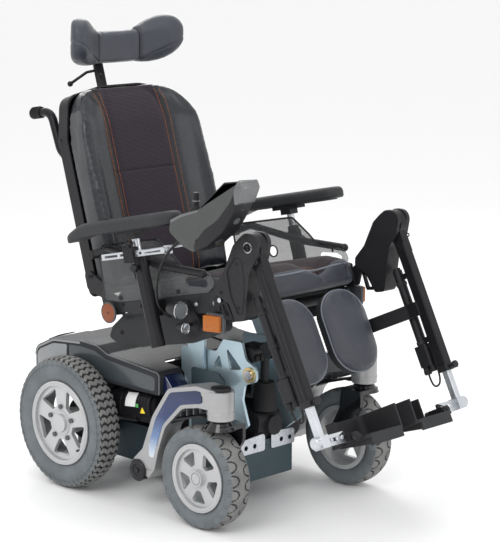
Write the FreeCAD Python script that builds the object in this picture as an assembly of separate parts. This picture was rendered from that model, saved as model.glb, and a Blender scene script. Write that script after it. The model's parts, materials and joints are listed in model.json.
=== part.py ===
"""Power wheelchair: rear-wheel drive base with sprung castor arms, tilting seat with
reclining back, height-adjustable arms and headrest, and powered elevating legrests.

X runs forward, Y to the occupant's left, Z up.  The parts are laid out from the drive
axle (X = 0 there) and exported about the middle of the footprint, with Z = 0 on the floor.
"""
import FreeCAD, Part
import math
import os
from FreeCAD import Vector

# ---- driving dimensions (mm, degrees) ---------------------------------------------
AXLE_TO_CENTRE = 335.0      # drive axle to the middle of the chair's length
DRIVE_R = 178.0             # 14 inch drive wheel
DRIVE_Y = 287.0             # half of the drive wheels' track
DRIVE_W = 75.0              # drive tyre width
CASTOR_R = 131.5            # castor wheel radius
CASTOR_W = 74.0             # castor tyre width
CASTOR_Y = 268.4            # half of the castors' track
STEM_X = 561.0              # castor stem, forward of the drive axle
TRAIL = 54.6                # castor hub behind its stem
ARM_PIVOT = (292.0, 108.0)  # castor arm's pivot (X, Z)
TILT_PIVOT = (338.0, 361.0)  # seat tilt pivot (X, Z)
SEAT_REF = (586.0, 385.0)   # origin of the seat's own frame (X, Z)
SEAT_TILT = 12.0            # seat tilt as shown
BACK_LEAN = 4.8             # back rest's lean behind square to the seat
BACK_HINGE = (-440.0, 240.0)  # recline hinge in the seat's frame
LEG_PIVOT = (664.0, 732.0)  # legrest elevation pivot (X, Z)
LEG_Y = 257.0               # leg tube's centre plane
LEG_ANGLE = 63.5            # leg tube below the horizontal
LEG_TOP = (676.0, 711.0)    # a point on the leg tube's centre line (X, Z)
HALF_SEAT = 242.0           # side plates' inner face from the middle
ARM_Y = 285.0               # arm posts' centre plane
WALL = 3.0                  # sheet metal and cover wall

AXIS_X = Vector(1, 0, 0)
AXIS_Y = Vector(0, 1, 0)
AXIS_Z = Vector(0, 0, 1)
ORIGIN = Vector(0, 0, 0)


# ---- small tools ------------------------------------------------------------------
def block(x0, x1, y0, y1, z0, z1):
    """Box between two corners."""
    return Part.makeBox(x1 - x0, y1 - y0, z1 - z0, Vector(x0, y0, z0))


def rod(start, end, radius):
    """Round bar between two points."""
    a, b = Vector(*start), Vector(*end)
    return Part.makeCylinder(radius, (b - a).Length, a, b - a)


def joined(*shapes):
    """One solid from several touching ones."""
    whole = shapes[0]
    for shape in shapes[1:]:
        whole = whole.fuse(shape)
    return whole.removeSplitter()


def group(*shapes):
    """Separate solids kept together in one node."""
    solids = []
    for shape in shapes:
        solids.extend(shape.Solids)
    return Part.makeCompound(solids)


def corner(before, here, after, radius):
    """Tangent points and middle of the arc that rounds one corner."""
    u = (before - here).normalize()
    v = (after - here).normalize()
    half = u.getAngle(v) / 2.0
    reach = radius / math.tan(half)
    middle_way = (u + v).normalize()
    centre = here + middle_way * (radius / math.sin(half))
    return here + u * reach, centre - middle_way * radius, here + v * reach


def rounded_wire(points, closed):
    """Wire through (Vector, radius) corners: straight runs with tangent arcs."""
    count = len(points)
    stops = []
    for i, (here, radius) in enumerate(points):
        is_end = not closed and i in (0, count - 1)
        if radius <= 0 or is_end:
            stops.append((here,))
        else:
            before = points[i - 1][0]
            after = points[(i + 1) % count][0]
            stops.append(corner(before, here, after, radius))
    edges = []
    for i, stop in enumerate(stops):
        if len(stop) == 3:
            edges.append(Part.Arc(*stop).toShape())
        if i == count - 1 and not closed:
            break
        following = stops[(i + 1) % count][0]
        if (following - stop[-1]).Length > 1e-4:
            edges.append(Part.LineSegment(stop[-1], following).toShape())
    return Part.Wire(Part.sortEdges(edges)[0])


PLANES = {
    "x": lambda level, a, b: Vector(level, a, b),
    "y": lambda level, a, b: Vector(a, level, b),
    "z": lambda level, a, b: Vector(a, b, level),
}
NORMALS = {"x": AXIS_X, "y": AXIS_Y, "z": AXIS_Z}


def plate(plane, low, high, points):
    """Prism across one axis, from an outline of (a, b) or (a, b, corner radius)."""
    corners = []
    for p in points:
        radius = p[2] if len(p) > 2 else 0.0
        corners.append((PLANES[plane](low, p[0], p[1]), radius))
    face = Part.Face(rounded_wire(corners, True))
    return face.extrude(NORMALS[plane] * (high - low))


def bar(points, radius, bend):
    """Round tube or rod bent along a path of points."""
    corners = [(Vector(*p), bend) for p in points]
    path = rounded_wire(corners, False)
    ring = Part.makeCircle(radius, corners[0][0], corners[1][0] - corners[0][0])
    return path.makePipeShell([Part.Wire(ring)], True, False)


def rect(half_a, half_b, radius, a=0.0, b=0.0):
    """Corner list of a rounded rectangle."""
    signs = ((-1, -1), (1, -1), (1, 1), (-1, 1))
    return [(a + s * half_a, b + t * half_b, radius) for s, t in signs]


def spun(profile, x, z):
    """Ring about a cross axis at (x, z), from (radius, y, corner radius) points."""
    corners = [(Vector(x + p[0], p[1], z), p[2]) for p in profile]
    face = Part.Face(rounded_wire(corners, True))
    return face.revolve(Vector(x, 0, z), AXIS_Y, 360)


def turned(shape, x, z, degrees):
    """Turn about a cross axis at (x, z); positive lifts the front."""
    moved = shape.copy()
    moved.rotate(Vector(x, 0, z), AXIS_Y, -degrees)
    return moved


def on_seat(shape):
    """Place a shape drawn in the seat's frame."""
    moved = turned(shape, 0, 0, SEAT_TILT)
    moved.translate(Vector(SEAT_REF[0], 0, SEAT_REF[1]))
    return moved


def on_back(shape):
    """Place a shape drawn in the back rest's frame, whose origin is its hinge."""
    moved = turned(shape, 0, 0, BACK_LEAN)
    moved.translate(Vector(BACK_HINGE[0], 0, BACK_HINGE[1]))
    return on_seat(moved)


def on_leg(shape):
    """Place a shape drawn with the leg tube standing on Z and its top at the origin."""
    moved = turned(shape, 0, 0, 90.0 - LEG_ANGLE)
    moved.translate(Vector(LEG_TOP[0], 0, LEG_TOP[1]))
    return moved


def sided(shape, side):
    """The right-hand (-Y) shape itself, or its mirror image for the left."""
    return shape if side == "right" else shape.mirror(ORIGIN, AXIS_Y)


def both(shape):
    """A right-hand shape with its left-hand mirror image."""
    return group(shape, sided(shape, "left"))


def bored(shape, start, end, radius):
    """Shape with a round hole through it."""
    return shape.cut(rod(start, end, radius))


def bolt(start, direction, head_r, head_h, shank_r, shank):
    """Bolt whose head stands outside start and whose shank runs along direction."""
    d = Vector(*direction).normalize()
    p = Vector(*start)
    head = Part.makeCylinder(head_r, head_h, p - d * head_h, d)
    return joined(head, Part.makeCylinder(shank_r, shank, p, d))


def ring_of(count, radius, x, z, start=0.0):
    """Points spaced evenly about a cross axis, as (X, Z)."""
    steps = [math.radians(start + 360.0 * i / count) for i in range(count)]
    return [(x + radius * math.cos(a), z + radius * math.sin(a)) for a in steps]


NODES = {}


# ---- base -------------------------------------------------------------------------
RAIL_OUT = 145.0            # chassis rails' outer face
RAIL_IN = 132.0
NOSE_OUT = 95.0             # narrow nose, clear of the turning castors
NOSE_X = 410.0
FRONT_X = 462.0
FLOOR_Z = 62.0
RAIL_TOP = 165.0
REAR_X = -130.0
UPRIGHT_IN = 110.0          # tilt uprights' inner face
UPRIGHT_OUT = 118.0
TIE_HOLE_R = 6.5            # lashing holes through the nose
TIE_HOLE_Z = 156.0
TIE_HOLES = (82.0, 50.0)


def chassis_frame():
    """Welded tray that carries the batteries, motors, castor arms and uprights."""
    sheet = 4.0
    tray = block(REAR_X, NOSE_X, -RAIL_OUT, RAIL_OUT, FLOOR_Z, RAIL_TOP)
    tray = tray.cut(block(REAR_X + 6, NOSE_X - 6, -RAIL_IN, RAIL_IN, FLOOR_Z + sheet, RAIL_TOP + 1))
    nose = block(NOSE_X - 6, FRONT_X, -NOSE_OUT, NOSE_OUT, FLOOR_Z, RAIL_TOP)
    nose_in = block(NOSE_X - 7, FRONT_X - 6, 6 - NOSE_OUT, NOSE_OUT - 6, FLOOR_Z + sheet, RAIL_TOP + 1)
    ledge = block(418, FRONT_X - 6, -38, 38, 157, RAIL_TOP)
    frame = joined(joined(tray, nose).cut(nose_in), ledge)
    for y in TIE_HOLES:
        for across in (-y, y):
            frame = bored(frame, (FRONT_X - 7, across, TIE_HOLE_Z), (FRONT_X + 1, across, TIE_HOLE_Z), TIE_HOLE_R)
    pieces = [frame]
    for side in ("right", "left"):
        axle = rod((ARM_PIVOT[0], -RAIL_IN - 6, ARM_PIVOT[1]), (ARM_PIVOT[0], -296, ARM_PIVOT[1]), 11)
        collar = rod((ARM_PIVOT[0], -RAIL_OUT + 2, ARM_PIVOT[1]), (ARM_PIVOT[0], -226, ARM_PIVOT[1]), 24)
        mount = block(-34, 34, -152, -RAIL_OUT + 1, 128, 162)
        foot = block(285, 402, -RAIL_IN - 1, -UPRIGHT_OUT, 140, RAIL_TOP)
        wing = plate("y", -150, -RAIL_OUT + 1, [
            (333, 120, 5), (333, 362, 6), (428, 362, 12), (458, 338, 8), (404, 300, 10), (404, 120, 5)])
        for piece in (axle, collar, mount, foot, wing):
            pieces.append(sided(piece, side))
    return joined(*pieces)


def battery_pack():
    """Two traction batteries with terminal posts, side by side in the tray."""
    cells = []
    for x0, x1 in ((-116, 138), (146, 398)):
        case = block(x0, x1, -88, 88, FLOOR_Z + 4, 232)
        posts = [rod((x, y, 232), (x, y, 244), 8) for x in (x0 + 30, x1 - 30) for y in (-60, 60)]
        cells.append(joined(case, *posts))
    return group(*cells)


COVER_SIDE = 240.0


def rear_cover():
    """Moulded shell over the batteries and motors, with a well for the uprights."""
    outline = [(-198, 235, 8), (-198, 345, 36), (-118, 381, 60), (0, 391, 90), (62, 388, 24),
               (104, 371, 30), (209, 363, 90), (306, 355, 6), (306, 291, 5), (99, 291, 4), (86, 235, 4)]
    outer = plate("y", -COVER_SIDE, COVER_SIDE, outline)
    inner_outline = [(-195, 200, 5), (-195, 343.4, 33), (-117, 377.6, 57), (0, 388, 87), (61, 385, 21),
                     (103, 368, 27), (208.8, 360, 87), (303, 352.2, 3), (303, 200, 2)]
    inner = plate("y", -COVER_SIDE + WALL, COVER_SIDE - WALL, inner_outline)
    well = block(228, 320, -158, 158, 280, 400)
    port = plate("z", 340, 420, [(-150, -120, 30), (190, -120, 20), (190, 120, 20), (-150, 120, 30)])
    return outer.cut(inner).cut(well).cut(port)


def top_cover():
    """Gloss lid that closes the port in the rear cover."""
    lid = plate("y", -118.5, 118.5, [
        (-146, 364, 2), (-118, 378.5, 50), (0, 388, 90), (60, 385, 20), (104, 368.5, 30), (187, 361, 2),
        (187, 356, 2), (104, 363.5, 30), (58, 380, 20), (0, 383, 90), (-118, 373.5, 50), (-146, 359, 2)])
    plan = plate("z", 340, 400, [(-147, -118.5, 29), (188, -118.5, 19), (188, 118.5, 19), (-147, 118.5, 29)])
    return lid.common(plan)


def tilt_uprights():
    """Zinc side plates that carry the seat's tilt pivot and the front bush."""
    outline = [(262, 402, 6), (392, 408, 12), (418, 444, 8), (484, 446, 8), (498, 402, 20), (534, 386, 14),
               (536, 350, 16), (494, 336, 12), (486, 296, 20), (508, 232, 6), (478, 207, 5), (424, 167, 5),
               (402, 167, 2), (402, 142, 5), (285, 142, 5), (300, 300, 20), (262, 340, 6)]
    upright = plate("y", -UPRIGHT_OUT, -UPRIGHT_IN, outline)
    small = plate("y", -UPRIGHT_OUT - 1, -UPRIGHT_IN + 1, [(378, 366, 4), (404, 402, 4), (414, 366, 4)])
    large = plate("y", -UPRIGHT_OUT - 1, -UPRIGHT_IN + 1, [(428, 426, 4), (486, 374, 4), (440, 366, 4)])
    upright = upright.cut(small).cut(large)
    for x, z, r in ((TILT_PIVOT[0], TILT_PIVOT[1], 16.05), (FRONT_BUSH[0], FRONT_BUSH[1], 14.05)):
        upright = bored(upright, (x, -UPRIGHT_OUT - 1, z), (x, -UPRIGHT_IN + 1, z), r)
    return both(upright)


FRONT_BUSH = (513.0, 366.0)


def tilt_bushes():
    """Brass bushes pressed into the uprights; the front pair carries a headed pin."""
    pieces = []
    x, z = TILT_PIVOT
    ring = rod((x, -UPRIGHT_OUT - 1.5, z), (x, -UPRIGHT_IN + 1, z), 16)
    pieces.append(bored(ring, (x, -UPRIGHT_OUT - 2, z), (x, -UPRIGHT_IN + 2, z), 12.05))
    x, z = FRONT_BUSH
    flange = rod((x, -UPRIGHT_OUT - 5, z), (x, -UPRIGHT_OUT, z), 20)
    ring = joined(flange, rod((x, -UPRIGHT_OUT, z), (x, -UPRIGHT_IN + 1, z), 14))
    pieces.append(bored(ring, (x, -UPRIGHT_OUT - 6, z), (x, -UPRIGHT_IN + 2, z), 9))
    pieces.append(joined(rod((x, -UPRIGHT_OUT - 9, z), (x, -UPRIGHT_OUT - 5, z), 13),
                         rod((x, -UPRIGHT_OUT - 5, z), (x, -UPRIGHT_IN + 4, z), 9)))
    return both(group(*pieces))


def tie_down_plates():
    """Front lashing plates, each with two holes."""
    tab = plate("x", FRONT_X, FRONT_X + 4, [(-100, 138, 6), (-12, 138, 6), (-12, 184, 10), (-100, 178, 10)])
    for y in TIE_HOLES:
        tab = bored(tab, (FRONT_X - 1, -y, TIE_HOLE_Z), (FRONT_X + 5, -y, TIE_HOLE_Z), TIE_HOLE_R)
    return both(tab)


MOTOR_Y = 188.0


def drive_motors():
    """Right-angle gear motors with output shafts and parking brakes."""
    gearbox = rod((0, -152, DRIVE_R), (0, -240, DRIVE_R), 56)
    housing = rod((10, -MOTOR_Y, 221), (262, -MOTOR_Y, 250), 47)
    cap = rod((262, -MOTOR_Y, 250), (272, -MOTOR_Y, 251.2), 38)
    brake = rod((120, -214, 212), (206, -214, 219), 17)
    shaft = rod((0, -238, DRIVE_R), (0, -DRIVE_Y - 4, DRIVE_R), 10)
    boss = rod((0, -238, DRIVE_R), (0, -246, DRIVE_R), 24)
    return both(joined(gearbox, housing, cap, brake, boss, shaft))


def tilt_actuator():
    """Linear drive on the centre line: motor, gear case, rubber boot and ram."""
    case = plate("y", -42, 42, [
        (420, RAIL_TOP, 6), (456, RAIL_TOP, 4), (458, 188, 3), (470, 190, 6), (476, 236, 20), (420, 246, 8)])
    cap = rod((470, 6, 206), (486, 6, 206), 26)
    boot = Part.makeCone(33, 26, 74, Vector(452, 0, 244))
    ram = rod((452, 0, 316), (452, 0, 420), 11)
    return joined(case, cap, boot, ram)


def control_box():
    """Power module with a row of plug sockets."""
    case = plate("y", -104, -40, [(446, 392, 6), (510, 392, 8), (514, 432, 8), (446, 432, 6)])
    sockets = [block(512, 517, y, y + 12, 398, 412) for y in (-98, -80, -62)]
    return joined(case, *sockets)


# ---- wheels -----------------------------------------------------------------------
def tyre_profile(radius, rim, half_width, y):
    """Section of a tyre: bead inside the rim flanges, bulged wall and round tread."""
    bead = half_width * 0.68
    return [(rim, y - bead, 1), (rim + 6, y - bead, 3), (radius * 0.8, y - half_width, 12),
            (radius, y - half_width * 0.86, 20), (radius, y + half_width * 0.86, 20),
            (radius * 0.8, y + half_width, 12), (rim + 6, y + bead, 3), (rim, y + bead, 1)]


def wheel_rim(radius, half, hub_r, spokes, x, z, y, outward):
    """Rim barrel with flanges, a dished spoke disc near the outer face, and a hub."""
    barrel = spun([(radius - 8, y - half, 1), (radius, y - half, 1), (radius, y + half, 1),
                   (radius - 8, y + half, 1)], x, z)
    flange_a = spun([(radius - 9, y - half - 6, 1), (radius + 4, y - half - 6, 2), (radius + 4, y - half, 1),
                     (radius - 9, y - half, 1)], x, z)
    flange_b = spun([(radius - 9, y + half, 1), (radius + 4, y + half, 1), (radius + 4, y + half + 6, 2),
                     (radius - 9, y + half + 6, 1)], x, z)
    face = y + outward * (half - 8)
    disc = rod((x, face - 6, z), (x, face + 6, z), radius - 6)
    hub = rod((x, y - half, z), (x, y + half + 2, z), hub_r)
    window_r = (radius + hub_r) * 0.5
    for wx, wz in ring_of(spokes, window_r, x, z, 90.0 + 180.0 / spokes):
        a = math.atan2(wz - z, wx - x)
        wide, narrow = math.pi / spokes * 0.62, math.pi / spokes * 0.34
        inner_r, outer_r = hub_r + 12, radius - 15
        shape = [(inner_r, -narrow), (outer_r, -wide), (outer_r, wide), (inner_r, narrow)]
        points = [(x + r * math.cos(a + t), z + r * math.sin(a + t), 5) for r, t in shape]
        disc = disc.cut(plate("y", face - 8, face + 8, points))
    return joined(barrel, flange_a, flange_b, disc, hub)


DRIVE_RIM = 110.0
CASTOR_RIM = 84.0
HUB_X = STEM_X - TRAIL


def drive_wheel(side):
    """Tyre, cast rim, and the wheel's bolts and valve."""
    y = -DRIVE_Y
    rim = wheel_rim(DRIVE_RIM, 27, 34, 5, 0, DRIVE_R, y, -1)
    rim = bored(rim, (0, y - 6, DRIVE_R), (0, y + 40, DRIVE_R), 10.05)
    hub_face = y - 27 + 8 - 6
    bolts = []
    for x, z in ring_of(5, 44.5, 0, DRIVE_R, 90.0):
        rim = bored(rim, (x, hub_face - 1, z), (x, hub_face + 14, z), 4.0)
        bolts.append(bolt((x, hub_face, z), (0, 1, 0), 6.5, 5, 4.0, 12))
    valve = rod((70, hub_face - 8, DRIVE_R - 62), (70, hub_face, DRIVE_R - 62), 3)
    cap = rod((0, y - 34, DRIVE_R), (0, y - 27, DRIVE_R), 24)
    tyre = spun(tyre_profile(DRIVE_R, DRIVE_RIM + 0.2, DRIVE_W / 2, y), 0, DRIVE_R)
    NODES["drive_tyre_" + side] = sided(tyre, side)
    NODES["drive_rim_" + side] = sided(rim, side)
    NODES["drive_wheel_bolts_" + side] = sided(group(*bolts, valve, cap), side)


def castor_arm(side):
    """Cast swing arm: pivot foot, arched web and the barrel that holds the castor stem."""
    y_out, y_in = -300.0, -240.0
    outline = [(275, 100, 14), (272, 134, 10), (308, 168, 20), (346, 262, 120), (405, 344, 30),
               (505, 368, 60), (572, 366, 10), (572, 316, 6), (512, 314, 14), (456, 302, 40),
               (392, 240, 60), (366, 172, 60), (352, 120, 12), (327, 92, 12), (292, 80, 12)]
    web = plate("y", y_out, y_in, outline)
    barrel = rod((STEM_X, -CASTOR_Y, 290), (STEM_X, -CASTOR_Y, 362), 34)
    foot = rod((ARM_PIVOT[0], y_out, ARM_PIVOT[1]), (ARM_PIVOT[0], y_in + 12, ARM_PIVOT[1]), 27)
    arm = joined(web, barrel, foot)
    arm = arm.cut(rod((STEM_X, -CASTOR_Y, 280), (STEM_X, -CASTOR_Y, 344), 15.05))
    arm = bored(arm, (ARM_PIVOT[0], y_out - 1, ARM_PIVOT[1]), (ARM_PIVOT[0], y_in + 20, ARM_PIVOT[1]), 11.05)
    relief = plate("y", y_out - 1, y_out + 3, [
        (352, 190, 4), (380, 262, 60), (424, 332, 20), (530, 352, 12), (532, 330, 6), (452, 316, 40),
        (384, 246, 60), (362, 184, 4)])
    NODES["castor_arm_" + side] = sided(arm.cut(relief), side)


FORK_IN = CASTOR_Y - CASTOR_W / 2 - 6    # inner side leg, beside the tyre


def castor_fork(side):
    """Stem, swan neck and the single leg that carries the castor's stub axle."""
    y = -CASTOR_Y
    stem = rod((STEM_X, y, 272), (STEM_X, y, 340), 15)
    bell = Part.makeCone(40, 24, 24, Vector(STEM_X, y, 265))
    crown = plate("z", 265, 277, [(STEM_X - 34, y - 26, 14), (STEM_X + 34, y - 26, 14),
                                  (STEM_X + 34, -FORK_IN + 10, 6), (STEM_X - 34, -FORK_IN + 10, 6)])
    leg = plate("y", -FORK_IN, -FORK_IN + 10, [
        (STEM_X - 34, 277, 6), (STEM_X + 34, 277, 10), (STEM_X + 34, 230, 40), (HUB_X + 24, 150, 14),
        (HUB_X + 22, 112, 18), (HUB_X - 22, 112, 18), (HUB_X - 22, 150, 20), (STEM_X - 40, 220, 40)])
    axle = rod((HUB_X, -FORK_IN + 5, CASTOR_R), (HUB_X, y - 20, CASTOR_R), 8)
    NODES["castor_fork_" + side] = sided(joined(stem, bell, crown, leg, axle), side)


def castor_wheel(side):
    """Castor tyre and its cast rim with a hub cap."""
    y = -CASTOR_Y
    rim = wheel_rim(CASTOR_RIM, 26, 22, 5, HUB_X, CASTOR_R, y, -1)
    cap = rod((HUB_X, y - 34, CASTOR_R), (HUB_X, y - 26, CASTOR_R), 20)
    rim = joined(rim, cap)
    rim = bored(rim, (HUB_X, y - 21, CASTOR_R), (HUB_X, y + 40, CASTOR_R), 8.05)
    tyre = spun(tyre_profile(CASTOR_R, CASTOR_RIM + 0.2, CASTOR_W / 2, y), HUB_X, CASTOR_R)
    NODES["castor_tyre_" + side] = sided(tyre, side)
    NODES["castor_rim_" + side] = sided(rim, side)


# ---- seat -------------------------------------------------------------------------
RAIL_BOTTOM = 170.0         # seat rail's lower edge at the front, seat frame


def seat_frame():
    """Side rails, lower members, cross tubes, pan and the brackets down to the tilt pivot."""
    rail = plate("y", -HALF_SEAT - 4, -HALF_SEAT, [
        (-392, 195, 4), (-392, 231, 4), (-5, 232, 6), (-3, RAIL_BOTTOM, 10), (-227, 181, 40)])
    lower = plate("y", -224, -214, [
        (-471, 131, 8), (-452, 158, 8), (-400, 186, 10), (-227, 182, 30), (-6, 172, 8), (-12, 124, 20),
        (-150, 99, 40), (-342, 99, 20), (-440, 112, 20)])
    lug = plate("y", -HALF_SEAT, -HALF_SEAT + 8, [
        (-458, 240, 16), (-446, 258, 14), (-420, 246, 14), (-380, 228, 6), (-380, 188, 6), (-452, 188, 10)])
    tubes = [rod((x, -223, 150), (x, 223, 150), 11) for x in (-400, -210, -44)]
    px, pz = PIVOT_ON_SEAT
    hanger = plate("y", -130, -122, [
        (px - 20, pz - 20, 18), (px - 20, pz + 30, 20), (-300, 166, 10), (-190, 166, 10),
        (px + 24, pz + 20, 20), (px + 20, pz - 20, 18)])
    pin = rod((px, -131, pz), (px, -107, pz), 12)
    hinge = rod((BACK_HINGE[0], -HALF_SEAT - 3, BACK_HINGE[1]), (BACK_HINGE[0], -222.6, BACK_HINGE[1]), 6)
    pan = block(-386, -24, -HALF_SEAT, HALF_SEAT, 185, 190)
    beam = block(-72, -42, -HALF_SEAT, HALF_SEAT, 166, 186)
    half = joined(rail, lug, hinge, lower)
    whole = joined(half, sided(half, "left"), *tubes, pan, beam)
    return on_seat(joined(whole, joined(hanger, pin), sided(joined(hanger, pin), "left")))


def to_seat(x, z):
    """Point in the chair's frame, written in the seat's frame."""
    a = math.radians(SEAT_TILT)
    dx, dz = x - SEAT_REF[0], z - SEAT_REF[1]
    return dx * math.cos(a) + dz * math.sin(a), dz * math.cos(a) - dx * math.sin(a)


PIVOT_ON_SEAT = to_seat(*TILT_PIVOT)


CUSHION_HALF = 233.0


def seat_cushion():
    """Foam cushion wrapped over the front of the pan."""
    outline = [(-424, 190, 8), (-424, 250, 22), (-30, 252, 60), (12, 246, 26), (16, 200, 30),
               (6, 177, 10), (-20, 177, 4), (-20, 190, 2)]
    return on_seat(plate("y", -CUSHION_HALF, CUSHION_HALF, outline))


def side_panels():
    """Clothes guards outside the rails, with a hand slot and a round hole."""
    panel = plate("y", -HALF_SEAT - 8, -HALF_SEAT - 5, [
        (-434, 232, 8), (-434, 345, 12), (-418, 373, 14), (-201, 371, 18), (-150, 322, 30), (-118, 286, 24),
        (-30, 272, 22), (-16, 240, 14), (-44, 224, 10), (-380, 222, 6)])
    slot = plate("y", -HALF_SEAT - 9, -HALF_SEAT - 4, [
        (-126, 270, 10), (-56, 262, 12), (-36, 250, 8), (-48, 236, 8), (-112, 246, 6)])
    panel = panel.cut(slot)
    panel = bored(panel, (-290, -HALF_SEAT - 9, 286), (-290, -HALF_SEAT - 4, 286), 15)
    screws = [bolt((x, -HALF_SEAT - 8, z), (0, 1, 0), 6, 3, 3, 3) for x, z in ((-372, 232), (-150, 234))]
    return on_seat(both(joined(panel, *screws)))


ROD_Y = -261.5


def side_rods():
    """Cranked guard rods with ball ends, outside the panels."""
    path = [(x, ROD_Y, z) for x, z in ((-442, 353), (-376, 364), (-191, 305), (-40, 273))]
    tube = bar(path, 10, 40)
    end = Part.makeSphere(11, Vector(*path[-1]))
    eye = rod((-442, -HALF_SEAT - 8, 353), (-442, -272, 353), 12)
    return on_seat(both(joined(tube, end, eye)))


SOCKET_FOOT = (-214.5, 101.8)       # arm socket's lower end on its axis, seat frame
SOCKET_LEAN = 5.4
SOCKET_LENGTH = 234.0


def on_socket(shape):
    """Place a shape drawn up the arm socket's axis, with its foot at the origin."""
    moved = turned(shape, 0, 0, SOCKET_LEAN)
    moved.translate(Vector(SOCKET_FOOT[0], 0, SOCKET_FOOT[1]))
    return on_seat(moved)


def arm_sockets():
    """Oval sockets that hold the arm posts, bracketed to the rails."""
    outer = plate("z", 0, SOCKET_LENGTH, rect(21, 13, 12.5, 0, -ARM_Y))
    bore = rod((0, -ARM_Y, 60), (0, -ARM_Y, SOCKET_LENGTH + 1), 10.3)
    bracket = block(-17, 17, -ARM_Y + 12, -HALF_SEAT - 4, 76, 116)
    return both(on_socket(joined(outer, bracket).cut(bore)))


def headlamps():
    """Lamp buckets and their small companion lamps, on brackets outside the rails."""
    pieces = []
    for x, z, r, depth in ((440, 547, 23, 44), (457, 505, 14, 30)):
        bucket = Part.makeCone(r * 0.6, r, depth * 0.6, Vector(x - depth, -289, z), AXIS_X)
        rim = rod((x - depth * 0.4, -289, z), (x, -289, z), r)
        glass = rod((x, -289, z), (x + 2, -289, z), r - 3)
        pieces.append(joined(bucket, rim, glass))
    stay = plate("y", -252, -248, [(384, 560, 6), (424, 566, 6), (470, 520, 10), (462, 488, 8), (420, 488, 8)])
    arms = [rod((404, -248.5, 547), (404, -284, 547), 6), rod((436, -248.5, 505), (436, -284, 505), 5)]
    return both(group(*pieces, joined(stay, *arms)))


def indicators():
    """Amber turn lamps at the front and round amber reflectors at the rear."""
    lens = plate("z", 506, 546, [(512, -286, 4), (558, -272, 4), (558, -264, 3), (512, -270, 3)])
    housing = plate("z", 502, 550, [(508, -268, 3), (562, -261, 4), (562, -251, 3), (508, -251, 3)])
    disc = rod((136, -254, 491), (136, -262, 491), 28)
    stud = rod((136, -HALF_SEAT, 491), (136, -254, 491), 6)
    return both(group(lens.cut(housing), housing, joined(disc, stud)))


# ---- legrests ---------------------------------------------------------------------
HEAD_HALF = 11.7            # half thickness of the leg tube's pivot head
CHEEK_GAP = 12.0            # half width of the housing's slot
HOUSING_HALF = 23.0
TUBE_HALF = 16.0            # leg tube, fore and aft
TUBE_SIDE = 13.5            # leg tube, across
TUBE_LENGTH = 380.0
HOLLOW_TOP = -215.0         # foot tube runs up to here inside the leg tube


def to_leg(x, z):
    """Point in the chair's frame, written in the leg tube's frame."""
    a = math.radians(90.0 - LEG_ANGLE)
    dx, dz = x - LEG_TOP[0], z - LEG_TOP[1]
    return dx * math.cos(a) + dz * math.sin(a), dz * math.cos(a) - dx * math.sin(a)


def legrest_housings():
    """Hook-on housings whose two cheeks hold each leg's pivot pin."""
    y = -LEG_Y
    px, pz = LEG_PIVOT
    outline = [(634, 752, 20), (652, 766, 24), (686, 766, 24), (697, 745, 22), (690, 706, 24), (668, 672, 30),
               (661, 620, 30), (654, 552, 12), (622, 545, 10), (600, 586, 18), (572, 598, 12), (552, 606, 10),
               (552, 628, 12), (582, 664, 20), (612, 730, 24)]
    body = plate("y", y - HOUSING_HALF, y + HOUSING_HALF, outline)
    head_room = rod((px, y - CHEEK_GAP, pz), (px, y + CHEEK_GAP, pz), 34)
    lx, lz = -TUBE_HALF - 2, 60
    front = on_leg(plate("y", y - CHEEK_GAP, y + CHEEK_GAP, [(lx, -200), (lx, lz), (90, lz), (90, -200)]))
    room = on_leg(plate("y", y - TUBE_SIDE - 3, y + TUBE_SIDE + 3, [
        (lx, -200), (lx, -31), (90, -31), (90, -200)]))
    body = body.cut(head_room).cut(front).cut(room)
    inlay = plate("y", y - HOUSING_HALF - 1, y - HOUSING_HALF + 1.5, [
        (640, 700, 10), (618, 700, 10), (592, 664, 14), (606, 606, 14), (630, 566, 6), (644, 566, 6),
        (650, 640, 20)])
    pin = joined(rod((px, y - HOUSING_HALF - 3, pz), (px, y + HOUSING_HALF, pz), 8),
                 rod((px, y - HOUSING_HALF - 3, pz), (px, y - HOUSING_HALF, pz), 13))
    plug = plate("y", -252, -HALF_SEAT - 4, [
        (520, 552, 6), (520, 588, 6), (562, 622, 8), (568, 606, 8), (554, 552, 8)])
    bolts = [bolt((x, -252, z), (0, 1, 0), 6, 4, 3, 4) for x, z in ((532, 582), (540, 562))]
    return both(joined(body.cut(inlay), pin, plug, *bolts))


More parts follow.
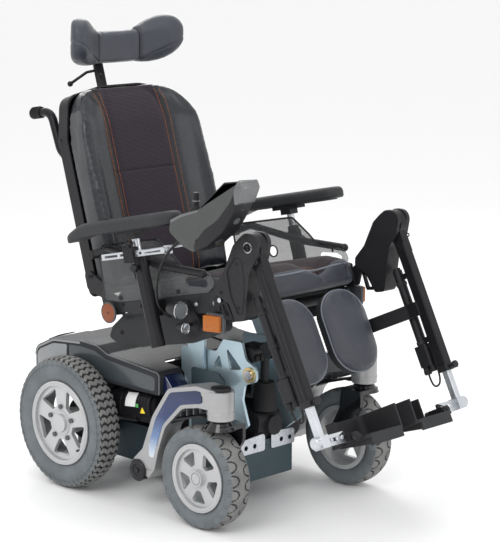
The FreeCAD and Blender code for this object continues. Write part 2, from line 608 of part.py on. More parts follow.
def leg_tube(side):
    """Black leg extrusion with its pivot head, actuator brackets and calf arm."""
    y = -LEG_Y
    hx, hz = to_leg(*LEG_PIVOT)
    head = rod((hx, y - HEAD_HALF, hz), (hx, y + HEAD_HALF, hz), 33)
    neck = block(-TUBE_HALF + 1, TUBE_HALF, y - HEAD_HALF, y + HEAD_HALF, -60, 20)
    tube = plate("z", -TUBE_LENGTH, -35, rect(TUBE_HALF, TUBE_SIDE, 6, 0, y))
    hollow = plate("z", -TUBE_LENGTH - 1, HOLLOW_TOP, rect(9.8, 9.8, 3, 0, y))
    brackets = [block(-34, -TUBE_HALF + 1, y - 6, y + 6, z, z + 14) for z in (-122, -294)]
    arm = plate("z", -224, -188, [
        (-12, y + TUBE_SIDE - 2, 1), (-40, y + TUBE_SIDE + 2, 4), (-170, -182, 8), (-170, -52, 2), (-164, -52, 2),
        (-164, -178, 4), (-36, y + TUBE_SIDE + 10, 6), (-4, y + TUBE_SIDE + 8, 3), (-4, y + TUBE_SIDE - 2, 1)])
    slots = [block(-175, -160, yy, yy + 5, -216, -196) for yy in (-172, -160, -148)]
    ears = [block(-165, -152, yy, yy + 6, -214, -198) for yy in (-122, -72)]
    cross = rod((-157, -124, -206), (-157, -64, -206), 4)
    whole = joined(head, neck, tube, arm, *brackets, *ears, cross).cut(hollow)
    for slot in slots:
        whole = whole.cut(slot)
    whole = bored(whole, (hx, y - 20, hz), (hx, y + 20, hz), 8.05)
    NODES["leg_tube_" + side] = sided(on_leg(whole), side)


def leg_actuator(side):
    """Linear actuator behind the leg tube: ram tube, gear case, motor and end caps."""
    y, x = -LEG_Y, -46.5
    ram = rod((x, y, -300), (x, y, -94), 12.5)
    collar = rod((x, y, -100), (x, y, -88), 10)
    case = plate("z", -352, -296, rect(21, 13, 8, x - 3, y))
    caps = [rod((cx, y, -368), (cx, y, -350), 9.5) for cx in (x - 13, x + 8)]
    NODES["leg_actuator_" + side] = sided(on_leg(joined(ram, collar, case, *caps)), side)


PAD_FRONT = -108.0
PAD_BACK = -149.0


def calf_pad(side):
    """Stadium-shaped calf pad with two lugs on its back."""
    pad = plate("x", PAD_BACK, PAD_FRONT, rect(73, 109, 66, -95, -206))
    lug_side = [(-163, -213, 6), (PAD_BACK + 2, -213, 1), (PAD_BACK + 2, -199, 1), (-163, -199, 6)]
    lugs = [plate("y", yy, yy + 6, lug_side) for yy in (-110, -84)]
    lugs = [bored(lug, (-157, -130, -206), (-157, -60, -206), 4.05) for lug in lugs]
    NODES["calf_pad_" + side] = sided(on_leg(joined(pad, *lugs)), side)


FOOT_Z = -TUBE_LENGTH - 86.0     # knuckle centre, leg frame
FLIP_Y = -170.0                  # footplate's flip axis
FLIP_Z = FOOT_Z - 8.0


def foot_tube(side):
    """Silver inner tube with its knuckle, slotted bar and the footplate's hinge block."""
    y = -LEG_Y
    tube = plate("z", FOOT_Z, -262, rect(9.3, 9.3, 2.5, 0, y))
    knuckle = block(-15, 15, y - 13, y + 15, FOOT_Z - 16, FOOT_Z + 14)
    cap = rod((0, y - 22, FOOT_Z), (0, y - 13, FOOT_Z), 15)
    strap = plate("x", -3, 3, [
        (y + 10, FOOT_Z - 15, 2), (-174, FOOT_Z - 15, 2), (-174, FOOT_Z + 12, 4), (y + 10, FOOT_Z + 12, 4)])
    slot = plate("x", -4, 4, [
        (y + 22, FOOT_Z - 6, 3), (-200, FOOT_Z - 6, 3), (-200, FOOT_Z + 3, 3), (y + 22, FOOT_Z + 3, 3)])
    hinge = block(-22, 22, -181, -165, FLIP_Z - 9, FLIP_Z + 9)
    serration = [block(x, x + 3, -184, -180, FLIP_Z - 8, FLIP_Z + 8) for x in (-18, -11, 8, 15)]
    pin = rod((-38, FLIP_Y, FLIP_Z), (38, FLIP_Y, FLIP_Z), 5)
    whole = joined(tube, knuckle, cap, strap.cut(slot), hinge, *serration, pin)
    NODES["foot_tube_" + side] = sided(on_leg(whole), side)


PLATE_TOP = FLIP_Z - 8.0
PLATE_HEEL = -79.0
PLATE_TOE = 57.0
LOOP_H = 56.0


def footplate(side):
    """Ribbed footplate with a front lip, heel loop and side walls, hinged along its outer edge."""
    deck = plate("z", PLATE_TOP - 7, PLATE_TOP, [
        (PLATE_HEEL, -160, 20), (PLATE_TOE, -160, 8), (PLATE_TOE, -24, 14), (PLATE_HEEL, -24, 26)])
    lip = block(PLATE_TOE - 8, PLATE_TOE - 1, -150, -40, PLATE_TOP - 27, PLATE_TOP - 1)
    ribs = [plate("y", yy, yy + 4, [(PLATE_HEEL + 22, PLATE_TOP - 6), (PLATE_TOE - 3, PLATE_TOP - 6),
                                    (PLATE_TOE - 3, PLATE_TOP - 24), (PLATE_HEEL + 30, PLATE_TOP - 10)])
            for yy in range(-150, -36, 18)]
    out, inn = PLATE_HEEL + 1.5, PLATE_HEEL + 6.5
    loop = plate("z", PLATE_TOP - 1, PLATE_TOP + LOOP_H, [
        (out, -158.5, 18.5), (-34, -158.5, 1), (-34, -153.5, 1), (inn, -153.5, 13.5),
        (inn, -30.5, 19.5), (PLATE_TOE - 5, -30.5, 1), (PLATE_TOE - 5, -25.5, 1), (out, -25.5, 24.5)])
    lugs = []
    for x0 in (-36, 24):
        lug = joined(rod((x0, FLIP_Y, FLIP_Z), (x0 + 12, FLIP_Y, FLIP_Z), 9),
                     block(x0, x0 + 12, FLIP_Y, -154, PLATE_TOP - 6, FLIP_Z))
        lugs.append(bored(lug, (x0 - 1, FLIP_Y, FLIP_Z), (x0 + 13, FLIP_Y, FLIP_Z), 5.05))
    NODES["footplate_" + side] = sided(on_leg(joined(deck, lip, loop, *ribs, *lugs)), side)


def latch_lever(side):
    """Loop-shaped release lever below the housing's boss."""
    loop = plate("y", -268, -259, [(550, 596, 8), (576, 592, 6), (604, 546, 6), (572, 541, 6)])
    loop = loop.cut(plate("y", -270, -257, [(562, 582, 3), (571, 580, 3), (592, 552, 3), (576, 550, 3)]))
    loop = bored(loop, (559, -270, 588), (559, -250, 588), 3.05)
    NODES["latch_lever_" + side] = sided(loop, side)


def latch_pins():
    """Pins on which the release levers turn."""
    return both(joined(rod((559, -251, 588), (559, -270, 588), 3), rod((559, -270, 588), (559, -272, 588), 6)))


# ---- back rest, in its own frame: X to the front, Z up the back, origin at the hinge -----
SHELL_HALF = 222.0
SHELL_REAR = -88.0
SHELL_FRONT = -51.0


def back_outline(inset):
    """Back rest's outline seen square on, drawn in by inset."""
    wide, low = SHELL_HALF - inset, 6 + inset
    return [(-wide, low, 20), (wide, low, 20), (wide, 430, 90), (190 - inset, 544 - inset, 44),
            (70, 566 - inset, 120), (-70, 566 - inset, 120), (-190 + inset, 544 - inset, 44), (-wide, 430, 90)]


def back_shell():
    """Hard shell with its hinge lugs and the headrest's sleeve."""
    shell = plate("x", SHELL_REAR, SHELL_FRONT, back_outline(0))
    shell = shell.cut(plate("x", SHELL_REAR + 6, SHELL_FRONT + 1, back_outline(5)))
    lug = plate("y", -230, -SHELL_HALF + 0.5, [
        (-82, 30, 10), (-82, 74, 10), (-58, 74, 10), (10, 12, 10), (10, -12, 10), (-14, -12, 10)])
    lug = bored(lug, (0, -240, 0), (0, -200, 0), 6.05)
    sleeve = block(-136, -108, -24, 24, 470, 536)
    sleeve = sleeve.cut(block(-126.3, -117.7, -15.3, 15.3, 460, 540))
    neck = block(-109, SHELL_REAR + 1, -18, 18, 480, 526)
    return on_back(joined(shell, lug, sided(lug, "left"), sleeve, neck))


def back_cushion():
    """Foam back with side bolsters, as deep as its shell."""
    body = plate("x", SHELL_FRONT, 60, back_outline(2.5))
    section = [(SHELL_FRONT + 0.2, -219, 2), (4, -219, 8), (28, -206, 14), (24, -150, 40), (-10, -112, 30),
               (-10, 112, 30), (24, 150, 40), (28, 206, 14), (4, 219, 8), (SHELL_FRONT + 0.2, 219, 2)]
    body = plate("z", 24, 580, section).common(body)
    return on_back(body)


def push_handles():
    """Cranked push handles with rubber grips, bolted behind the shell."""
    tube = bar([(-98, -160, 330), (-160, -160, 420), (-168, -160, 528), (-216, -160, 534)], 12, 34)
    grip = rod((-206, -160, 533), (-243, -160, 538), 15.5)
    foot = block(-110, SHELL_REAR, -176, -144, 314, 346)
    return on_back(both(joined(tube, grip, foot)))


HEAD_HINGE = (-96.0, 662.0)


def headrest_post():
    """Flat post that slides in the sleeve, with the headrest's clevis and a clamp lever."""
    post = block(-126, -118, -15, 15, 420, 672)
    hx, hz = HEAD_HINGE
    knuckle = plate("y", -16, 16, [
        (-119, 640, 4), (-119, 684, 8), (hx, hz + 12, 8), (hx + 11, hz, 8), (hx, hz - 12, 8)])
    pin = rod((hx, -27, hz), (hx, 27, hz), 4)
    lever = bar([(-122, -14, 622), (-140, -30, 622), (-176, -66, 600)], 4, 10)
    knob = Part.makeSphere(8, Vector(-176, -66, 600))
    return on_back(joined(post, knuckle, pin, lever, knob))


def headrest_pad():
    """Winged head pad with the two ears of its hinge."""
    outline = [(-106, -70, 60), (-66, -150, 40), (-44, -178, 6), (-66, -192, 14), (-112, -166, 40), (-152, -90, 60),
               (-152, 90, 60), (-112, 166, 40), (-66, 192, 14), (-44, 178, 6), (-66, 150, 40), (-106, 70, 60)]
    pad = plate("z", 1104, 1238, outline)
    side_view = plate("y", -200, 200, [(-170, 1128, 20), (-130, 1106, 14), (-90, 1106, 14), (-30, 1130, 20),
                                       (-30, 1236, 16), (-90, 1214, 30), (-150, 1204, 16), (-170, 1190, 10)])
    pad = pad.common(side_view)
    ears = []
    for low in (-24, 18):
        ear = plate("y", low, low + 6, [(-178 - 10, 1124, 9), (-178 - 10, 1146, 9), (-146, 1170, 6), (-146, 1124, 6)])
        ears.append(ear)
    hx, hz = from_back(*HEAD_HINGE)
    pad = joined(pad, *ears)
    return bored(pad, (hx, -40, hz), (hx, 40, hz), 4.05)


def from_back(x, z):
    """Point in the back rest's frame, written in the chair's frame."""
    spot = on_back(Part.Vertex(Vector(x, 0, z)))
    return spot.Point.x, spot.Point.z


# ---- arms and joystick --------------------------------------------------------------
def arm_post(side):
    """Height-adjusting post with the armrest's mounting plate."""
    tube = on_socket(rod((0, -ARM_Y, 80), (0, -ARM_Y, 296), 10))
    top = on_seat(block(-292, -196, -ARM_Y - 15, -ARM_Y + 15, 394, 405.5))
    yoke = on_seat(block(-262, -226, -ARM_Y - 15, -ARM_Y + 15, 380, 394.5))
    NODES["arm_post_" + side] = sided(joined(tube, top, yoke), side)


def arm_pad(side):
    """Moulded armrest pad, its rear end cranked down."""
    body = plate("y", -332, -264, [
        (-466, 412, 8), (-424, 438, 24), (-72, 438, 14), (-60, 422, 12), (-72, 406, 8), (-392, 406, 24), (-456, 396, 8)])
    plan = plate("z", 380, 450, [(-470, -332, 20), (-58, -332, 30), (-58, -264, 30), (-470, -264, 20)])
    NODES["arm_pad_" + side] = sided(on_seat(body.common(plan)), side)


STICK_X, STICK_Y, STICK_Z = 518.0, -310.0, 800.0
POD_OUT, POD_IN = -338.0, -284.0
CAVITY_R = 21.5
RING_OUT, RING_IN = 20.0, 16.0
PANEL_DIR = Vector(84, 0, 72).normalize()
PANEL_NORMAL = Vector(-PANEL_DIR.z, 0, PANEL_DIR.x)
KNOB_AT = Vector(584, -304, 842)
BUTTON_AT = Vector(616, -322, 869.4)


def rail_clamp():
    """Clamp on the right-hand socket that the joystick's rail slides through."""
    body = block(-258, -222, -320, -ARM_Y - 12.5, 322, 360)
    body = body.cut(block(-260, -220, -311.5, -302.5, 334.5, 351.5))
    screw = joined(rod((-240, -309, 359), (-240, -309, 372), 4), rod((-240, -309, 366), (-240, -309, 374), 9))
    return on_seat(joined(body, screw))


def joystick_rail():
    """Slotted rail and twin rods that carry the joystick pod."""
    rail = block(-352, -186, -311, -303, 335, 351)
    for x0, x1 in ((-340, -290), (-280, -268), (-215, -198)):
        rail = rail.cut(block(x0, x1, -312, -302, 340, 346))
    rods = [rod((-190, -307, 347), (-38, -307, 350), 4.5), rod((-190, -307, 338), (-92, -307, 338), 3.5)]
    lug = block(-112, -92, -312, -302, 333, 354)
    screw = joined(rod((-102, -311, 343), (-102, -324, 343), 4), rod((-102, -318, 343), (-102, -326, 343), 8))
    return on_seat(joined(rail, *rods, lug, screw))


def joystick_pod():
    """Control pod: hand deck, raised panel, and a spherical well for the gimbal."""
    outline = [(452, 752, 12), (456, 782, 8), (494, 800, 20), (556, 818, 16), (640, 890, 6), (696, 898, 8),
               (704, 882, 10), (672, 824, 60), (636, 774, 40), (584, 734, 50), (536, 712, 20), (500, 722, 20)]
    pod = plate("y", POD_OUT, POD_IN, outline)
    centre = Vector(STICK_X, STICK_Y, STICK_Z)
    pod = pod.cut(Part.makeSphere(CAVITY_R, centre))
    pod = pod.cut(rod((STICK_X - 26, STICK_Y, STICK_Z), (STICK_X + 26, STICK_Y, STICK_Z), 1.55))
    knob_seat = KNOB_AT - PANEL_NORMAL * 6
    pod = pod.cut(Part.makeCylinder(4.05, 14, knob_seat, PANEL_NORMAL))
    well = BUTTON_AT - PANEL_NORMAL * 5
    pod = pod.cut(Part.makeCylinder(6.3, 14, well, PANEL_NORMAL))
    rod_way = on_seat(rod((-70, -307, 349.4), (-37, -307, 350), 4.5))
    gland = rod((484, -318, 746), (CABLE_START[0], -318, CABLE_START[2]), 6)
    socket = rod((592, -312, 752), (603, -312, 738), 11)
    return joined(pod.cut(rod_way), gland, socket)


def joystick_gimbal():
    """Ring that lets the stick lean sideways, on fore-and-aft trunnions."""
    x, y, z = STICK_X, STICK_Y, STICK_Z
    ring = rod((x, y, z - 3), (x, y, z + 3), RING_OUT).cut(rod((x, y, z - 4), (x, y, z + 4), RING_IN))
    ring = bored(ring, (x, y - 24, z), (x, y + 24, z), 1.55)
    pins = [rod((x - 24, y, z), (x - 18, y, z), 1.5), rod((x + 18, y, z), (x + 24, y, z), 1.5)]
    return joined(ring, *pins)


def joystick_stick():
    """Stick with its ball, cross trunnions and hand knob."""
    x, y, z = STICK_X, STICK_Y, STICK_Z
    ball = Part.makeSphere(15, Vector(x, y, z))
    trunnion = rod((x, y - 18.5, z), (x, y + 18.5, z), 1.5)
    shaft = rod((x, y, z + 10), (x, y, z + 34), 4.5)
    knob = rod((x, y, z + 26), (x, y, z + 53), 8.5)
    rim = [e for e in knob.Edges if e.Length > 40 and e.BoundBox.ZMin > z + 50]
    return joined(ball, trunnion, shaft, knob.makeFillet(3.5, rim))


def speed_knob():
    """Speed dial on the raised panel."""
    stem = Part.makeCylinder(4.0, 12, KNOB_AT - PANEL_NORMAL * 5, PANEL_NORMAL)
    dial = Part.makeCylinder(10, 8, KNOB_AT + PANEL_NORMAL * 0.6, PANEL_NORMAL)
    mark = Part.makeCylinder(1.5, 1.2, KNOB_AT + PANEL_NORMAL * 8.2 + PANEL_DIR * 6, PANEL_NORMAL)
    return joined(stem, dial, mark)


def power_button():
    """Push button beside the dial."""
    return Part.makeCylinder(6.0, 6, BUTTON_AT - PANEL_NORMAL * 2.8, PANEL_NORMAL)


CABLE_START = (468.0, -318.0, 730.0)
CABLE_ROUTE = [(467.5, -318, 729.6), (428, -320, 698), (394, -316, 651), (370, -307, 598), (359, -292, 551),
               (358, -272, 529), (358, -258, 522)]
CABLE_R = 3.3


def routed(points, radius):
    """Cable of straight runs joined by arcs as large as the runs allow."""
    spots = [Vector(*p) for p in points]
    corners = [(spots[0], 0)]
    for before, here, after in zip(spots, spots[1:], spots[2:]):
        turn = (here - before).getAngle(after - here)
        run = min((here - before).Length, (after - here).Length)
        bend = 0.45 * run / math.tan(turn / 2)
        print("cable bend", round(bend, 1))
        corners.append((here, bend))
    corners.append((spots[-1], 0))
    path = rounded_wire(corners, False)
    ring = Part.makeCircle(radius, spots[0], spots[1] - spots[0])
    tube = path.makePipeShell([Part.Wire(ring)], True, False)
    print("cable length", round(path.Length, 1), "volume ratio",
          round(tube.Volume / (math.pi * radius ** 2 * path.Length), 4))
    return tube


def cable_gland():
    """Gland on the seat rail where the joystick's cable goes in."""
    stub = rod((358, -258, 522), (358, -238, 512), 6)
    return stub.cut(block(340, 376, -HALF_SEAT - 4, -200, 480, 540))


# ---- all nodes ----------------------------------------------------------------------
SINGLE = [chassis_frame, battery_pack, rear_cover, top_cover, tilt_uprights, tilt_bushes, tie_down_plates,
          drive_motors, tilt_actuator, control_box, seat_frame, seat_cushion, side_panels, side_rods,
          headlamps, indicators, back_shell, back_cushion, push_handles, headrest_post, headrest_pad,
          joystick_rail, joystick_pod, joystick_gimbal, joystick_stick, speed_knob, power_button]
HANDED = [drive_wheel, castor_arm, castor_fork, castor_wheel, leg_tube, leg_actuator, calf_pad, foot_tube,
          footplate, latch_lever, arm_post, arm_pad]

for make in SINGLE:
    NODES[make.__name__] = make()
for make in HANDED:
    for hand in ("right", "left"):
        make(hand)
NODES["legrest_housings"] = group(legrest_housings(), latch_pins())
NODES["arm_sockets"] = group(arm_sockets(), rail_clamp(), cable_gland())
NODES["joystick_cable"] = routed(CABLE_ROUTE, CABLE_R)

os.makedirs("parts", exist_ok=True)
for name, shape in NODES.items():
    placed = shape.copy()
    placed.translate(Vector(-AXLE_TO_CENTRE, 0, 0))
    placed.exportStep("parts/" + name + ".step")
print(len(NODES), "nodes")
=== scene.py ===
"""Looks of the power wheelchair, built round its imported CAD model."""
import json
from math import cos, exp, hypot, pi, radians, sin, tan

import bmesh
import bpy
from mathutils import Matrix, Vector
from mathutils.bvhtree import BVHTree

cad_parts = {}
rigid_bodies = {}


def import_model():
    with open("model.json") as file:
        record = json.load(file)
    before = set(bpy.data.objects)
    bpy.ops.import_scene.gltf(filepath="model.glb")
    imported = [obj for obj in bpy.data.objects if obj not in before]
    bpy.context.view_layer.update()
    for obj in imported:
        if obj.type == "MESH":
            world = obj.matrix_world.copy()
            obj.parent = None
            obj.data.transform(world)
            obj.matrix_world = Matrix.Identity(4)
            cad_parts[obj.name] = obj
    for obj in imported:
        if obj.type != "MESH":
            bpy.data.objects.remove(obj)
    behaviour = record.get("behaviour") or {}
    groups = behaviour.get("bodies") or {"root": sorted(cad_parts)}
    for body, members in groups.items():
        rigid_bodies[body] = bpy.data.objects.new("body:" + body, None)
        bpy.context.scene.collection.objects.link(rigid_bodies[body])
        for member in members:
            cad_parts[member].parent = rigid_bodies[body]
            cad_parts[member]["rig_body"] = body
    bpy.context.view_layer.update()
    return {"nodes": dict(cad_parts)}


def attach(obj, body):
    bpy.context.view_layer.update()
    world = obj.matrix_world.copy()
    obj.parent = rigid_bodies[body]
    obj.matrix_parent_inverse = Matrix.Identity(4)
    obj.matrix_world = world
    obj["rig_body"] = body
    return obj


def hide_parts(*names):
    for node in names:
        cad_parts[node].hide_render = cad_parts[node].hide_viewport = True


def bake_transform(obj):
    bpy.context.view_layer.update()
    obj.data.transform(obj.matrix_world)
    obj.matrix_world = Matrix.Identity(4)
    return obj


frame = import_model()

# ---- frames: from millimetres on a side-on drawing (X forward, Z up) to the CAD model's metres ----
SHIFT = -335.0  # the drawing's X starts at the drive wheels' axle, the model's at its middle


def lean(x, z, degrees):
    """Frame with its origin at (x, z), its front lifted by degrees."""
    return Matrix.Translation((x, 0, z)) @ Matrix.Rotation(radians(-degrees), 4, "Y")


CHAIR = Matrix.Scale(0.001, 4) @ Matrix.Translation((SHIFT, 0, 0))
SEAT = CHAIR @ lean(586, 385, 12)
BACK = SEAT @ lean(-440, 240, 4.8)
SOCKET = SEAT @ lean(-214.5, 101.8, 5.4)
LEG = CHAIR @ lean(676, 711, 26.5)
TO_CHAIR, TO_SEAT, TO_BACK, TO_LEG = (place.inverted() for place in (CHAIR, SEAT, BACK, LEG))
SIDES = (("right", -1), ("left", 1))
ARM_Y = 285.0
DRIVE_Z = 178
CASTOR_X, CASTOR_Y, CASTOR_Z = 506.4, 268.4, 131.5
STEM_X = 561
STICK = (518, -310)
LAMP_Y = 289
REFLECTOR_AT = (136, 254, 491)
LEG_Y = 257.0


# ---- mesh tools ---------------------------------------------------------------------
def placed(name, data):
    """New object in the scene."""
    thing = bpy.data.objects.new(name, data)
    bpy.context.collection.objects.link(thing)
    return thing


def evaluated(thing):
    """Mesh of an object with its modifiers applied."""
    return bpy.data.meshes.new_from_object(thing.evaluated_get(bpy.context.evaluated_depsgraph_get()))


def facing(place, aim):
    """Rotation that turns a lamp or a camera at place towards aim."""
    return (Vector(aim) - Vector(place)).to_track_quat("-Z", "Y").to_euler()


def piece(name, verts, faces, place, body, materials, hard=38, smooth=True):
    """Mesh object from points in a drawing frame, riding on a body."""
    mesh = bpy.data.meshes.new(name)
    mesh.from_pydata([tuple(place @ Vector(v)) for v in verts], [], faces)
    return wrap(name, mesh, body, materials, hard, smooth)


def wrap(name, mesh, body, materials, hard=38, smooth=True):
    """Object round a mesh that is already in the model's frame."""
    work = bmesh.new()
    work.from_mesh(mesh)
    bmesh.ops.remove_doubles(work, verts=work.verts, dist=1e-6)
    bmesh.ops.recalc_face_normals(work, faces=work.faces)
    for face in work.faces:
        face.smooth = smooth
    work.to_mesh(mesh)
    work.free()
    if smooth:
        mesh.set_sharp_from_angle(angle=radians(hard))
    thing = placed(name, mesh)
    for material in materials if isinstance(materials, (list, tuple)) else [materials]:
        mesh.materials.append(material)
    if body:
        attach(thing, body)
    return thing


def arc_corner(before, here, after, radius, steps):
    """Points of one rounded corner."""
    u, v = (before - here).normalized(), (after - here).normalized()
    half = max(u.angle(v) / 2, 0.02)
    reach = min(radius / tan(half), 0.49 * (before - here).length, 0.49 * (after - here).length)
    a, b = here + u * reach, here + v * reach
    centre = here + (u + v).normalized() * (reach / cos(half))
    out = []
    for i in range(steps + 1):
        spoke = (a - centre).lerp(b - centre, i / steps)
        out.append(centre + spoke.normalized() * (a - centre).length)
    return out


def outline(corners, steps=5):
    """Closed outline from (a, b) or (a, b, corner radius)."""
    spots = [Vector((c[0], c[1])) for c in corners]
    out = []
    for i, c in enumerate(corners):
        if len(c) > 2 and c[2] > 0:
            before, after = spots[i - 1], spots[(i + 1) % len(spots)]
            out.extend(arc_corner(before, spots[i], after, c[2], steps))
        else:
            out.append(spots[i])
    return out


def rect(a, b, c, d, *radii):
    """Corners of a rectangle from (a, b) to (c, d), with one corner radius or four."""
    radii = radii * 4 if len(radii) == 1 else radii
    return [(*spot, radius) for spot, radius in zip(((a, b), (c, b), (c, d), (a, d)), radii)]


def inset(points, amount):
    """Outline drawn in by amount, keeping its number of points."""
    area = sum(p.x * q.y - q.x * p.y for p, q in zip(points, points[1:] + points[:1]))
    turn = 1 if area > 0 else -1
    out = []
    for i, here in enumerate(points):
        a = (here - points[i - 1])
        b = (points[(i + 1) % len(points)] - here)
        a = a.normalized() if a.length > 1e-6 else b.normalized()
        b = b.normalized() if b.length > 1e-6 else a
        na, nb = Vector((-a.y, a.x)) * turn, Vector((-b.y, b.x)) * turn
        middle = (na + nb)
        middle = middle.normalized() if middle.length > 1e-6 else na
        out.append(here + middle * (amount / max(0.45, middle.dot(na))))
    return out


def round_turn(count, extra=0):
    """Angles of count even steps round a full turn."""
    return [2 * pi * i / count for i in range(count + extra)]


AXES = {"x": lambda level, a, b: (level, a, b), "y": lambda level, a, b: (a, level, b), "z": lambda level, a,
    b: (a, b, level)}


def loft(name, rings, place, body, materials, caps=True, closed=True, **kw):
    """Skin over rings of equally many points."""
    count = len(rings[0])
    verts = [tuple(p) for ring in rings for p in ring]
    faces = []
    for r in range(len(rings) - 1):
        for i in range(count if closed else count - 1):
            j = (i + 1) % count
            faces.append((r * count + i, r * count + j, (r + 1) * count + j, (r + 1) * count + i))
    if caps:
        faces.append(tuple(range(count)))
        last = (len(rings) - 1) * count
        faces.append(tuple(last + i for i in range(count)))
    return piece(name, verts, faces, place, body, materials, **kw)


def slab(name, corners, axis, low, high, place, body, materials, edge=1.0, **kw):
    """Prism of an outline with rounded rims."""
    points = outline(corners)
    if low > high:
        low, high = high, low
    edge = min(edge, (high - low) * 0.45)
    rings = []
    for depth in (0, 0.3, 0.65, 1.0):
        rings.append((low + edge * (1 - cos(depth * pi / 2)), edge * (1 - sin(depth * pi / 2))))
    levels = rings + [(high - (lv - low), ins) for lv, ins in reversed(rings)]
    skins = [[AXES[axis](lv, p.x, p.y) for p in inset(points, ins)] for lv, ins in levels]
    return loft(name, skins, place, body, materials, **kw)


def lathe(name, profile, start, direction, place, body, materials, count=40, **kw):
    """Turned piece: profile of (radius, height along direction)."""
    up = Vector(direction).normalized()
    side = up.orthogonal().normalized()
    other = up.cross(side)
    base = Vector(start)
    rings = []
    for radius, height in profile:
        radius = max(radius, 0.01)
        rings.append([base + up * height + (side * cos(t) + other * sin(t)) * radius for t in round_turn(count)])
    return loft(name, rings, place, body, materials, **kw)


def smooth_line(points, place, steps=10):
    """Points along the quadratic NURBS line of the given control points, in the model's frame."""
    curve = bpy.data.curves.new("line", "CURVE")
    curve.dimensions = "3D"
    spline = curve.splines.new("NURBS")
    spline.points.add(len(points) - 1)
    for spot, p in zip(spline.points, points):
        spot.co = (*(place @ Vector(p)), 1)
    spline.order_u = 3
    spline.use_endpoint_u = True
    spline.resolution_u = steps
    thing = bpy.data.objects.new("line", curve)
    mesh = bpy.data.meshes.new_from_object(thing)
    line = [v.co.copy() for v in mesh.vertices]
    bpy.data.objects.remove(thing)
    bpy.data.curves.remove(curve)
    bpy.data.meshes.remove(mesh)
    return line


def tube(name, line, radius, body, materials, sides=10, up=(0, 1, 0)):
    """Round tube along a line in the model's frame (radius in metres)."""
    rings = []
    hint = Vector(up)
    for i, here in enumerate(line):
        ahead = line[min(i + 1, len(line) - 1)] - line[max(i - 1, 0)]
        t = ahead.normalized()
        side = (hint - t * hint.dot(t)).normalized()
        other = t.cross(side)
        hint = side
        rings.append([here + side * cos(a) * radius + other * sin(a) * radius for a in round_turn(sides)])
    return loft(name, rings, Matrix.Identity(4), body, materials)


def split_by(thing, choose):
    """Material slot of each face from its middle and normal, in the model's frame."""
    for face in thing.data.polygons:
        face.material_index = choose(face.center, face.normal)


# ---- materials ----------------------------------------------------------------------
def node(tree, kind, **values):
    made = tree.nodes.new(kind)
    for key, value in values.items():
        if key in made.inputs:
            made.inputs[key].default_value = value
        else:
            setattr(made, key, value)
    return made


def shader_of(material):
    return material.node_tree.nodes["Principled BSDF"]


def tune(made, **values):
    """Set a node's own sockets; a socket's name is written with underscores."""
    for key, value in values.items():
        made.inputs[key.replace("_", " ")].default_value = value


def noise(tree, source, scale, detail=3.0, stretch=None):
    """Noise over object space."""
    made = node(tree, "ShaderNodeTexNoise", Scale=scale, Detail=detail)
    if stretch:
        mapping = node(tree, "ShaderNodeMapping")
        tune(mapping, Scale=stretch)
        tree.links.new(source, mapping.inputs["Vector"])
        source = mapping.outputs["Vector"]
    tree.links.new(source, made.inputs["Vector"])
    return made.outputs["Fac"]


def ramp(tree, source, stops):
    made = node(tree, "ShaderNodeValToRGB")
    while len(made.color_ramp.elements) < len(stops):
        made.color_ramp.elements.new(0.5)
    for element, (at, tone) in zip(made.color_ramp.elements, stops):
        element.position = at
        element.color = tone if len(tone) == 4 else (*tone, 1)
    tree.links.new(source, made.inputs["Fac"])
    return made.outputs["Color"]


